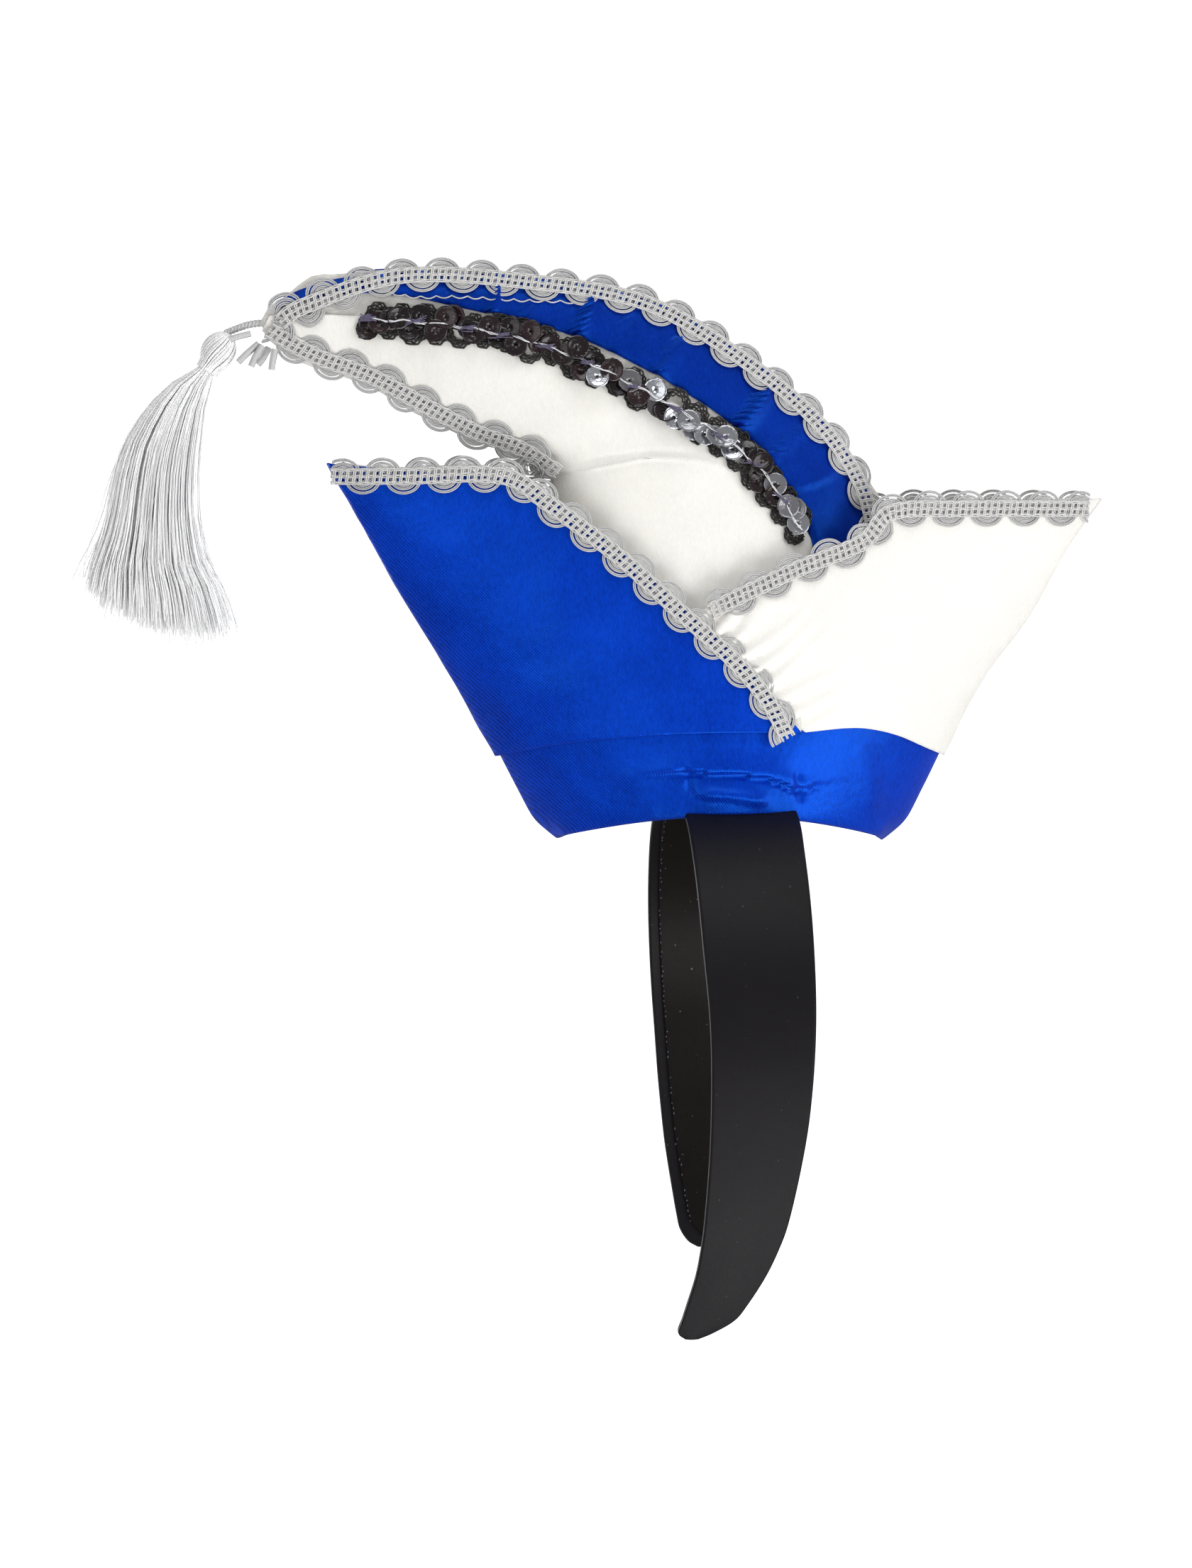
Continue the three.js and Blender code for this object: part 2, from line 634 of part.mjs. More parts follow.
// A tube through points, with a radius for each and six sides
function lock(points, radii) {
  const curve = new THREE.CatmullRomCurve3(points);
  const steps = 6;
  const sides = 6;
  const rings = Array.from({ length: steps + 1 }, (_, i) => {
    const share = i / steps;
    const centre = curve.getPoint(share);
    const along = curve.getTangent(share);
    const across = new Vector3(0, 1, 0).cross(along).normalize();
    const up = along.clone().cross(across);
    const place = share * (radii.length - 1);
    const k = Math.min(Math.floor(place), radii.length - 2);
    const radius = radii[k] + (radii[k + 1] - radii[k]) * (place - k);
    return Array.from({ length: sides }, (_unused, j) => {
      const turn = 2 * Math.PI * j / sides;
      return centre.clone()
        .addScaledVector(across, radius * Math.cos(turn))
        .addScaledVector(up, radius * Math.sin(turn));
    });
  });
  return solid(skin(rings));
}

// The tassel hangs from the horn's tip by a short cord: a wound head and locks below it
function tassel() {
  const tip = CROWN_ROWS[CROWN_ROWS.length - 1];
  const front = new Vector3(tip.frontX, 0, tip.frontZ);
  const rear = new Vector3(tip.rearX, 0, tip.rearZ);
  const outward = new Vector3(front.z - rear.z, 0, rear.x - front.x).normalize();
  const r = CORD_DIAMETER / 2;
  const hook = front.clone().lerp(rear, HOOK_PLACE).addScaledVector(outward, GAP + r / 2);
  const head = hook.clone().add(new Vector3(-CORD_ACROSS, 0, -CORD_DROP));
  const neck = head.clone().add(new Vector3(-NECK_ACROSS, 0, -NECK_DROP));
  const loop = head.clone().add(new Vector3(TASSEL_HEAD / 2, 0, TASSEL_HEAD * HEAD_SQUASH));
  const cord = lock([hook, loop, head], [r / 2, r, r]);
  const ball = new THREE.SphereGeometry(TASSEL_HEAD, 10, 8);
  ball.scale(HEAD_SQUASH, HEAD_SQUASH, HEAD_STRETCH);
  ball.translate(...head.toArray());
  const locks = LOCK_TABLE.map((row) => {
    const end = neck.clone().add(new Vector3(
      -row.endAcross * TASSEL_SPREAD, row.out * TASSEL_DEPTH, -row.endDown * TASSEL_LENGTH,
    ));
    const middle = neck.clone().add(new Vector3(
      -row.midAcross * TASSEL_SPREAD, row.out * TASSEL_DEPTH, -row.endDown * TASSEL_LENGTH / 2,
    ));
    const radii = LOCK_PROFILE.map((share) => share * row.size * LOCK_RADIUS);
    return lock([head, neck.clone().lerp(middle, LOCK_PARTING), middle, end], radii);
  });
  return locks.reduce((all, one) => all.add(one), cord.add(solid(ball)));
}

function material(color, roughness, metalness = 0) {
  return new THREE.MeshStandardMaterial({ color, roughness, metalness });
}

const BLACK_SATIN = material(0x17151c, 0.45);
const BLACK_LINING = material(0x0d0c10, 0.3);
const WHITE_FELT = material(0xeceae2, 0.95);
const BLUE_SATIN = material(0x1733c4, 0.4);
const IVORY_SATIN = material(0xf0ebdf, 0.4);
const SILVER_BRAID = material(0xc9c9c6, 0.4, 0.7);
const SEQUINS = material(0x2b2528, 0.25, 0.4);
const SILVER_THREAD = material(0xd2d0cc, 0.35, 0.7);

const group = new THREE.Group();

function place(name, geometry, finish) {
  const mesh = new THREE.Mesh(geometry, finish);
  mesh.name = name;
  group.add(mesh);
}

function placeBoth(name, geometry, finish) {
  place(`${name}_near`, geometry, finish);
  place(`${name}_far`, mirrored(geometry), finish);
}

place('headband', headband(), BLACK_SATIN);
place('headband_lining', headbandLining(), BLACK_LINING);
place('crown_felt_near', surfaceOf(crownFelt(-BEYOND, -GAP / 2)), WHITE_FELT);
place('crown_felt_far', surfaceOf(crownFelt(GAP / 2, BEYOND)), WHITE_FELT);
place('base_band', surfaceOf(baseBand()), BLUE_SATIN);
place('crest_stripe', surfaceOf(crestStripe()), BLUE_SATIN);
placeBoth('crest_panel', surfaceOf(crestPanel()), IVORY_SATIN);
place('front_flap', surfaceOf(frontFlap()), BLUE_SATIN);
place('front_flap_felt', surfaceOf(frontFlapFelt()), WHITE_FELT);
place('rear_flap', surfaceOf(rearFlap()), IVORY_SATIN);
place('rear_flap_felt', surfaceOf(rearFlapFelt()), WHITE_FELT);

// The braids on the crown follow its edges, and those on the flaps follow the flaps' edges
const crestWidth = widths(crown(GAP + SATIN));
const flapWidth = widths(cuff(0));
const ridgeLine = CROWN_ROWS.slice(3, -1).map((row) => new Vector2(row.rearX, row.rearZ));
const hornLine = CROWN_ROWS.slice(4, -1).map((row) => new Vector2(row.frontX, row.frontZ));
const frontTrim = [
  ...FRONT_TRIM_TOP.map((share) => new Vector2(-FRONT_REACH * share, FRONT_HEIGHT - EDGE_INSET)),
  ...beside(FRONT_EDGE, -EDGE_INSET),
];
const rearTrim = [
  ...shortened(beside(REAR_EDGE, -EDGE_INSET), REAR_TRIM_START),
  ...REAR_TRIM_TOP.map((share) => new Vector2(REAR_REACH * share, REAR_HEIGHT - EDGE_INSET)),
];
placeBoth('ridge_braid', braid(beside(ridgeLine, EDGE_INSET), crestWidth), SILVER_BRAID);
placeBoth('horn_braid', braid(beside(hornLine, -EDGE_INSET), crestWidth), SILVER_BRAID);
placeBoth('front_braid', braid(frontTrim, flapWidth), SILVER_BRAID);
placeBoth('rear_braid', braid(rearTrim, flapWidth), SILVER_BRAID);
placeBoth('sequin_string', sequinString(crestWidth), SEQUINS);
place('tassel', surfaceOf(tassel()), SILVER_THREAD);

export default group;
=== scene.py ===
"""Looks of a small carnival cap on a headband.

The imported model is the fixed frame. Every cloth, braid, bead and thread is built over it in
metres, +Z up, with the cap's horn along -X and the near side at -Y.
"""

import logging
import math
from dataclasses import dataclass, field
from enum import Enum
from typing import Callable, Sequence

import bmesh
import bpy
import numpy as np
from mathutils import Matrix, Vector


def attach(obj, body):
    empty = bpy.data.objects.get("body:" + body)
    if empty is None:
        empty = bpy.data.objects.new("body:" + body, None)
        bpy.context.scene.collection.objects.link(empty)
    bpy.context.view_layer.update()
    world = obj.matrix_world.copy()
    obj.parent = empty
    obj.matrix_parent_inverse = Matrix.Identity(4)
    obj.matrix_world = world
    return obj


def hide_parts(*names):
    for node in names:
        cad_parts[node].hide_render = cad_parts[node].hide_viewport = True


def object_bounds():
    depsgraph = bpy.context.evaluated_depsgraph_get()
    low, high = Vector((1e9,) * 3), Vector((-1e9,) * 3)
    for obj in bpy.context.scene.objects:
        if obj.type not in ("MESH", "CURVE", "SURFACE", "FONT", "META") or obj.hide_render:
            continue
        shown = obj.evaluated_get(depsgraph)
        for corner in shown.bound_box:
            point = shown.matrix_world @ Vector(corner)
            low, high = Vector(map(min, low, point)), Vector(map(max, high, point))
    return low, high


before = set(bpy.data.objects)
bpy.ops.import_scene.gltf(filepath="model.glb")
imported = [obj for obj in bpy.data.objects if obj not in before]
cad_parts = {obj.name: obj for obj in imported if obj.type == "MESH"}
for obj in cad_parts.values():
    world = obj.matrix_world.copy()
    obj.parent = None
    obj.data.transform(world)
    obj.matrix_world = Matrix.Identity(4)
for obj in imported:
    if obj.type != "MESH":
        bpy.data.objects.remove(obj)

CAD_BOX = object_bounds()
MM = 0.001
TAU = 2 * math.pi
LOG = logging.getLogger("carnival_cap")

Shape = Callable[[np.ndarray, np.ndarray], np.ndarray]
Value = "float | Wire"


class Side(Enum):
    """The cap's two sides, by the sign of Y."""

    NEAR = -1
    FAR = 1

    @property
    def label(self) -> str:
        """The side's word in a piece's name."""
        return self.name.lower()


class Held(Enum):
    """How a sheet of cloth is held, in the frame's words."""

    STRETCHED = "stretched"
    FOLDED = "folded"
    LAID = "laid"
    GATHERED = "gathered"


# Lines and runs of points

def even_run(points: np.ndarray, count: int) -> np.ndarray:
    """Points evenly spaced by length along a run of points.

    Args:
        points: The run, one row a point.
        count: How many points to return.

    Returns:
        The new run, its ends included.
    """
    length = np.r_[0, np.cumsum(np.linalg.norm(np.diff(points, axis=0), axis=1))]
    at = np.linspace(0, length[-1], count)
    return np.stack([np.interp(at, length, column) for column in points.T], 1)


def smooth_run(points: Sequence, count: int) -> np.ndarray:
    """A smooth curve through points, as evenly spaced points.

    Args:
        points: The points that the curve passes through.
        count: How many points to return.

    Returns:
        The curve's points.
    """
    p = np.asarray(points, float)
    ends = np.vstack([2 * p[0] - p[1], p, 2 * p[-1] - p[-2]])
    place = np.linspace(0, len(p) - 1, 24 * len(p))
    i = np.minimum(place.astype(int), len(p) - 2)
    f = (place - i)[:, None]
    a, b, c, d = (ends[i + k] for k in range(4))
    curve = b + f / 2 * (c - a + f * (2 * a - 5 * b + 4 * c - d + f * (3 * (b - c) + d - a)))
    return even_run(curve, count)


def beside(points: np.ndarray, distance: "float | np.ndarray") -> np.ndarray:
    """A run of points moved sideways, to the left of its direction.

    Args:
        points: The run on the side view.
        distance: How far it moves, for all or for each point.

    Returns:
        The moved run.
    """
    along = np.gradient(points, axis=0)
    along /= np.linalg.norm(along, axis=1)[:, None]
    return points + np.stack([-along[:, 1], along[:, 0]], 1) * np.reshape(distance, (-1, 1))


def nearest(points: np.ndarray, line: np.ndarray) -> tuple[np.ndarray, np.ndarray]:
    """Where points lie beside a line on the side view.

    Args:
        points: The points.
        line: The line's own points.

    Returns:
        Each point's distance, positive to the left, and its share of the way along.
    """
    best = np.full(len(points), np.inf)
    signed, along, start = np.zeros(len(points)), np.zeros(len(points)), 0.0
    for a, b in zip(line[:-1], line[1:]):
        length = np.linalg.norm(b - a)
        way = (b - a) / length
        from_a = points - a
        f = np.clip(from_a @ way, 0, length)
        away = np.linalg.norm(from_a - f[:, None] * way, axis=1)
        left = np.sign(way[0] * from_a[:, 1] - way[1] * from_a[:, 0])
        closer = away < best
        best = np.where(closer, away, best)
        signed = np.where(closer, away * left, signed)
        along = np.where(closer, start + f, along)
        start += length
    return signed, along / start


def ripple(points: np.ndarray, size: float, seed: int) -> np.ndarray:
    """A smooth random height from -1 to 1, for the slack of cloth.

    Args:
        points: The places on the side view.
        size: About how far apart its swells are.
        seed: Which of the many ripples.

    Returns:
        One height a point.
    """
    chance = np.random.default_rng(seed)
    height = np.zeros(len(points))
    for _ in range(6):
        turn, phase = chance.uniform(0, TAU, 2)
        wave = TAU / (size * chance.uniform(0.7, 1.6))
        height += np.sin(points @ np.array([math.cos(turn), math.sin(turn)]) * wave + phase)
    return height / 6


# The shapes that the cloth follows

@dataclass(frozen=True)
class FoldedShell:
    """A skin folded at the front and at the rear, through slices that lie on each other.

    Each row of the table is a slice: where its front and rear ends are on the side view, half
    its width, and how far its middle is arched up. A place counts in rows, and a turn is the
    angle round the slice, 0 at the front fold, positive on the near side, pi at the rear fold.
    """

    rows: np.ndarray
    lens: float
    ring_points: int = 18
    end_bulge: float = 1.4 * MM

    @property
    def last(self) -> int:
        """The last slice's place."""
        return len(self.rows) - 1

    def row(self, place: np.ndarray) -> np.ndarray:
        """The slice at each place, between the table's rows."""
        i = np.clip(np.floor(place).astype(int), 0, self.last - 1)
        f = (place - i)[..., None]
        before, start, end, after = (self.rows[np.clip(i + k, 0, self.last)] for k in (-1, 0, 1, 2))
        slope_in, slope_out, rise = (end - before) / 2, (after - start) / 2, start - end
        bend = (2 * rise + slope_in + slope_out) * f - (3 * rise + 2 * slope_in + slope_out)
        return start + f * (slope_in + f * bend)

    def flat(self, place: np.ndarray, share: np.ndarray, grow: float) -> np.ndarray:
        """Points on the side view, from places and shares of the slice, -1 to 1."""
        row = self.row(place)
        front, rear, half, arch = row[..., :2], row[..., 2:4], row[..., 4], row[..., 5]
        along = rear - front
        semi = np.linalg.norm(along, axis=-1) / 2
        step = TAU / self.ring_points
        slope = math.sin(step) ** self.lens * half / ((1 - math.cos(step)) * semi)
        reach = (semi + grow / np.sin(np.arctan(slope))) / (2 * semi)
        point = (front + rear) / 2 + along * (reach * share)[..., None]
        point[..., 1] += arch * (1 - share ** 2)
        return point

    def on(self, place: np.ndarray, turn: np.ndarray, grow: "float | np.ndarray" = 0.0) -> np.ndarray:
        """Points on the skin.

        Args:
            place: Which slice, counted in rows. Past the last one the skin rounds over.
            turn: The angle round the slice.
            grow: How far outside the skin.

        Returns:
            One point a row, in metres.
        """
        past = np.clip(place - self.last, 0, 1) * math.pi / 2
        kept = np.minimum(place, self.last)
        side_view = self.flat(kept, -np.cos(turn), grow)
        row = self.row(kept)
        along = row[..., 2:4] - row[..., :2]
        along /= np.linalg.norm(along, axis=-1)[..., None]
        outward = np.stack([-along[..., 1], along[..., 0]], -1) * np.sin(past)[..., None] * self.end_bulge
        middle = (row[..., :2] + row[..., 2:4]) / 2
        shrunk = middle + (side_view - middle) * (0.55 + 0.45 * np.cos(past))[..., None]
        width = (row[..., 4] + grow) * np.cos(past)
        y = -width * np.sign(np.sin(turn)) * np.abs(np.sin(turn)) ** self.lens
        flat = np.where((past > 0)[..., None], shrunk, side_view) + outward
        return np.stack([flat[..., 0], y, flat[..., 1]], -1)

    def find(self, points: np.ndarray, grow: float = 0.0) -> tuple[np.ndarray, np.ndarray]:
        """The places and turns of points on the side view.

        Args:
            points: The points, one a row.
            grow: How far outside the skin they lie.

        Returns:
            The place and the turn of each, on the near side.
        """
        places, shares = np.meshgrid(np.linspace(0, self.last, 121), np.linspace(-1, 1, 41))
        tried = self.flat(places.ravel(), shares.ravel(), grow)
        best = np.argmin(np.linalg.norm(points[:, None] - tried[None], axis=2), axis=1)
        place, share = places.ravel()[best], shares.ravel()[best]
        tiny = 1e-4
        for _ in range(12):
            here = self.flat(place, share, grow)
            by_place = (self.flat(place + tiny, share, grow) - here) / tiny
            by_share = (self.flat(place, share + tiny, grow) - here) / tiny
            miss = points - here
            area = by_place[:, 0] * by_share[:, 1] - by_place[:, 1] * by_share[:, 0]
            area = np.where(np.abs(area) < 1e-12, 1e-12, area)
            place = place + (miss[:, 0] * by_share[:, 1] - miss[:, 1] * by_share[:, 0]) / area
            share = share + (by_place[:, 0] * miss[:, 1] - by_place[:, 1] * miss[:, 0]) / area
            place, share = np.clip(place, 0, self.last), np.clip(share, -1.5, 1.5)
        return place, np.arccos(-np.clip(share, -1, 1))

    def depth(self, points: np.ndarray, grow: float) -> np.ndarray:
        """Half of the width of the skin at points on the side view, and 0 off it."""
        place, turn = self.find(points, grow)
        found = self.on(place, turn, grow)
        off = np.linalg.norm(found[:, [0, 2]] - points, axis=1) > 0.4 * MM
        return np.where(off, 0.0, -found[:, 1])

    def border(self, points: np.ndarray, at_front: bool = False, at_rear: bool = False) -> np.ndarray:
        """A line on the skin, evenly spaced by its real length.

        Args:
            points: The line on the side view.
            at_front: Whether it starts at the front fold.
            at_rear: Whether it ends at the rear fold.

        Returns:
            The place and the turn of each of its points.
        """
        place, turn = self.find(even_run(points, 420))
        if at_front:
            turn[0] = 0
        if at_rear:
            turn[-1] = math.pi
        length = np.r_[0, np.cumsum(np.linalg.norm(np.diff(self.on(place, turn), axis=0), axis=1))]
        at = np.linspace(0, length[-1], 240)
        return np.stack([np.interp(at, length, place), np.interp(at, length, turn)], 1)


def between(border: np.ndarray, share: np.ndarray) -> np.ndarray:
    """The place and turn on a border at shares of its length."""
    at = np.linspace(0, 1, len(border))
    return np.stack([np.interp(share, at, column) for column in border.T], 1)


@dataclass(frozen=True)
class CapShape:
    """The cap's shape, from the same sizes and tables as its solids."""

    horn_reach: float = 118 * MM
    crest_height: float = 134.5 * MM
    crown_rear: float = 40.5 * MM
    crown_half: float = 23.9 * MM
    crown_lens: float = 1.3
    front_reach: float = 101.2 * MM
    front_height: float = 86.5 * MM
    rear_reach: float = 98 * MM
    rear_height: float = 77 * MM
    rim_ease: float = 6.5 * MM
    front_rim_drop: float = 9.9 * MM
    rear_rim_drop: float = 11.1 * MM
    cuff_ease: float = 2.9 * MM
    cuff_lens: float = 1.5
    rim_arch: float = 8 * MM
    tuck: float = 4 * MM
    gap: float = 0.3 * MM
    crest_rise: float = 0.8 * MM
    horn_ease: float = 1.7 * MM
    slant_ease: float = 2.3 * MM
    rear_ease: float = 1.5 * MM
    ease_start: float = 9 * MM

    # Front X, front Z, rear X, rear Z, half and arch, as shares of the sizes above, then the
    # shares of the slice where the stripe ends and where the beads run
    crown_table = (
        (-0.35, -0.062, 0.99, -0.062, 1, 0.85, None, None),
        (-0.356, 0.134, 1, 0.134, 0.9, 0.4, None, None),
        (-0.36, 0.335, 1, 0.335, 0.73, 0.15, 0.8, None),
        (-0.364, 0.506, 0.985, 0.49, 0.565, 0, 0.767, 0.747),
        (-0.381, 0.625, 0.87, 0.606, 0.46, 0, 0.712, 0.667),
        (-0.458, 0.658, 0.6, 0.721, 0.375, 0, 0.705, 0.62),
        (-0.551, 0.677, 0.15, 0.834, 0.32, 0, 0.693, 0.595),
        (-0.661, 0.725, -0.161, 0.943, 0.26, 0, 0.661, 0.558),
        (-0.771, 0.777, -0.408, 0.983, 0.21, 0, 0.664, 0.525),
        (-0.881, 0.81, -0.686, 0.995, 0.16, 0, 0.74, 0.485),
        (-0.949, 0.84, -0.872, 0.972, 0.12, 0, 0.73, None),
        (-0.993, 0.877, -0.958, 0.932, 0.09, 0, 0.7, None),
    )
    # Front out, front up, rear out, rear up, half and arch: shares of the way from rim to tip
    cuff_table = (
        (0, 0, 0, 0, 1, 1),
        (0.2, 0.22, 0.21, 0.25, 0.99, 0.9),
        (0.38, 0.4, 0.375, 0.444, 0.914, 0.6),
        (0.604, 0.61, 0.61, 0.637, 0.813, 0.25),
        (0.828, 0.828, 0.805, 0.83, 0.68, 0),
        (1, 1, 1, 1, 0.582, 0),
        (1.126, 1.119, 1.153, 1.149, 0.504, 0),
    )
    front_bottom = (
        (-0.568, 0.132), (-0.46, 0.166), (-0.356, 0.187), (-0.215, 0.207), (-0.04, 0.216), (0.176, 0.216),
    )
    front_slant = (
        (-0.53, 0.97), (-0.43, 0.915), (-0.25, 0.755), (-0.11, 0.605), (0.031, 0.455), (0.119, 0.335),
        (0.176, 0.216),
    )
    rear_bottom = (
        (0.176, 0.216), (0.288, 0.224), (0.358, 0.218), (0.44, 0.193), (0.528, 0.149), (0.587, 0.12),
    )
    crossing: float = 0.58
    rear_corner: tuple[float, float] = (0.398, 0.978)
    rear_slant = ((0, 0), (0.2, 0.2), (0.51, 0.465), (0.85, 0.72), (1, 1))

    def drawn(self, shares: Sequence) -> np.ndarray:
        """Points on the side view, from shares of the flaps' sizes."""
        reach = {True: self.front_reach, False: self.rear_reach}
        return np.array([(x * reach[x < 0], z * self.front_height) for x, z in shares])

    def crown(self) -> FoldedShell:
        """The outside of the crown's felt."""
        reach = {True: self.horn_reach, False: self.crown_rear}
        rows = [
            (a * reach[a < 0], b * self.crest_height, c * reach[c < 0], d * self.crest_height,
             half * self.crown_half, arch * self.rim_arch)
            for a, b, c, d, half, arch, _, _ in self.crown_table
        ]
        table = np.array(rows)
        along = table[:, 2:4] - table[:, :2]
        along /= np.linalg.norm(along, axis=1)[:, None]
        table[:, :2] += along * (self.horn_ease * np.clip(np.arange(len(table)) - 3, 0, 2) / 2)[:, None]
        return FoldedShell(table, self.crown_lens)

    def cuff(self) -> FoldedShell:
        """The outside of the flaps and of the band below them."""
        rim = self.crown().rows[0]
        front, rear = rim[0] - self.rim_ease, rim[2] + self.rim_ease
        half = self.crown_half + self.cuff_ease
        rows = [
            (front + (-self.front_reach - front) * a, (self.front_height + self.front_rim_drop) * b
             - self.front_rim_drop, rear + (self.rear_reach - rear) * c,
             (self.rear_height + self.rear_rim_drop) * d - self.rear_rim_drop,
             half * share, arch * self.rim_arch)
            for a, b, c, d, share, arch in self.cuff_table
        ]
        return FoldedShell(np.array(rows), self.cuff_lens)

    def across_crown(self, column: int) -> np.ndarray:
        """A line over the crown, from its column of shares, with its places as a third column."""
        rows = self.crown().rows
        return np.array([
            (*(rows[i, :2] + (rows[i, 2:4] - rows[i, :2]) * line[column]), i)
            for i, line in enumerate(self.crown_table) if line[column] is not None
        ])

    def stripe_edge(self) -> np.ndarray:
        """Where the blue stripe ends, from behind the rear flap to the tip."""
        return self.across_crown(6)

    def bead_line(self) -> np.ndarray:
        """Where the beads run, from behind the rear flap to the tip."""
        return self.across_crown(7)

    def front_edge(self) -> np.ndarray:
        """The front flap's slanting edge, downward."""
        return self.drawn(self.front_slant)

    def front_cut(self) -> np.ndarray:
        """Where the front flap's satin ends under its braid, downward."""
        edge = smooth_run(self.front_edge(), 60)
        share = np.clip((edge[:, 1] - edge[-1, 1]) / self.ease_start, 0, 1)
        return beside(edge, -self.slant_ease * share)

    def rear_edge(self) -> np.ndarray:
        """The rear flap's slanting edge, from the front flap's edge to its corner."""
        edge = self.front_edge()
        height = self.crossing * self.front_height
        start = np.array([np.interp(-height, -edge[:, 1], edge[:, 0]), height])
        end = np.array(self.rear_corner) * (self.rear_reach, self.rear_height)
        return start + (end - start) * np.array(self.rear_slant)


# Making meshes

def place_grid(bm: bmesh.types.BMesh, columns: int, rows: int, shape: Shape) -> None:
    """Adds a grid to a mesh and bends it to a shape.

    Args:
        bm: The mesh to add to.
        columns: Squares along the grid.
        rows: Squares up the grid.
        shape: Gives the points for shares of the way along and up.
    """
    made = bmesh.ops.create_grid(bm, x_segments=columns, y_segments=rows, size=1.0)["verts"]
    flat = np.array([v.co[:2] for v in made])
    for vert, point in zip(made, shape((flat[:, 0] + 1) / 2, (flat[:, 1] + 1) / 2)):
        vert.co = point


def face_outward(bm: bmesh.types.BMesh, centre: Vector) -> None:
    """Turns a mesh's faces away from a centre, if most of them look at it."""
    sense = sum(f.calc_area() * f.normal.dot(f.calc_center_median() - centre) for f in bm.faces)
    if sense < 0:
        bmesh.ops.reverse_faces(bm, faces=bm.faces)


def to_object(name: str, bm: bmesh.types.BMesh, material: bpy.types.Material) -> bpy.types.Object:
    """Makes a smooth object of a mesh, at the origin.

    Args:
        name: The piece's name.
        bm: The mesh, which is freed.
        material: Its finish.

    Returns:
        The new object.
    """
    mesh = bpy.data.meshes.new(name)
    bm.to_mesh(mesh)
    bm.free()
    mesh.shade_smooth()
    mesh.materials.append(material)
    obj = bpy.data.objects.new(name, mesh)
    bpy.context.scene.collection.objects.link(obj)
    return obj


def thicken(obj: bpy.types.Object, thickness: float) -> None:
    """Gives a sheet its thickness, inward from its face."""
    solidify = obj.modifiers.new("thickness", "SOLIDIFY")
    solidify.thickness = thickness
    solidify.offset = -1


def thread_mesh(name: str, paths: Sequence[np.ndarray], radius: float, sides: int = 4,
                tapers: Sequence[np.ndarray] | None = None) -> bpy.types.Mesh:
    """Threads along paths, as one mesh of closed tubes.

    Args:
        name: The mesh's name.
        paths: The points that each thread follows.
        radius: The threads' radius.
        sides: How many sides each has, 4 or 6.
        tapers: A share of the radius for each point of each path, or none.

    Returns:
        The mesh.
    """
    curve = bpy.data.curves.new(name, "CURVE")
    curve.dimensions = "3D"
    curve.bevel_depth = radius
    curve.bevel_resolution = (sides - 4) // 2
    curve.use_fill_caps = True
    for i, path in enumerate(paths):
        spline = curve.splines.new("POLY")
        spline.points.add(len(path) - 1)
        spline.points.foreach_set("co", np.c_[path, np.ones(len(path))].ravel())
        if tapers is not None:
            spline.points.foreach_set("radius", tapers[i])
    carrier = bpy.data.objects.new(name, curve)
    bpy.context.scene.collection.objects.link(carrier)
    bpy.context.view_layer.update()
    mesh = bpy.data.meshes.new_from_object(carrier.evaluated_get(bpy.context.evaluated_depsgraph_get()))
    bpy.data.objects.remove(carrier)
    bpy.data.curves.remove(curve)
    mesh.name = name
    mesh.shade_smooth()
    return mesh


def thread_object(name: str, meshes: Sequence[bpy.types.Mesh],
                  materials: Sequence[bpy.types.Material]) -> bpy.types.Object:
    """Joins meshes of threads into one object, each with its own finish.

    Args:
        name: The piece's name.
        meshes: The meshes, which are removed.
        materials: One finish a mesh.

    Returns:
        The new object.
    """
    bm = bmesh.new()
    for i, mesh in enumerate(meshes):
        known = len(bm.faces)
        bm.from_mesh(mesh)
        bm.faces.ensure_lookup_table()
        for face in bm.faces[known:]:
            face.material_index = i
        bpy.data.meshes.remove(mesh)
    obj = to_object(name, bm, materials[0])
    for material in materials[1:]:
        obj.data.materials.append(material)
    return obj


def settle(obj: bpy.types.Object, nodes: Sequence[str] = ()) -> bpy.types.Object:
    """Ties a finished piece to the frame and reports it.

    Args:
        obj: The piece.
        nodes: The CAD nodes that it stands for.

    Returns:
        The same piece.
    """
    if nodes:
        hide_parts(*nodes)
    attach(obj, "root")
    LOG.info("%s: %d faces, stands for %s", obj.name, len(obj.data.polygons), ", ".join(nodes) or "itself")
    return obj


# Shader maths

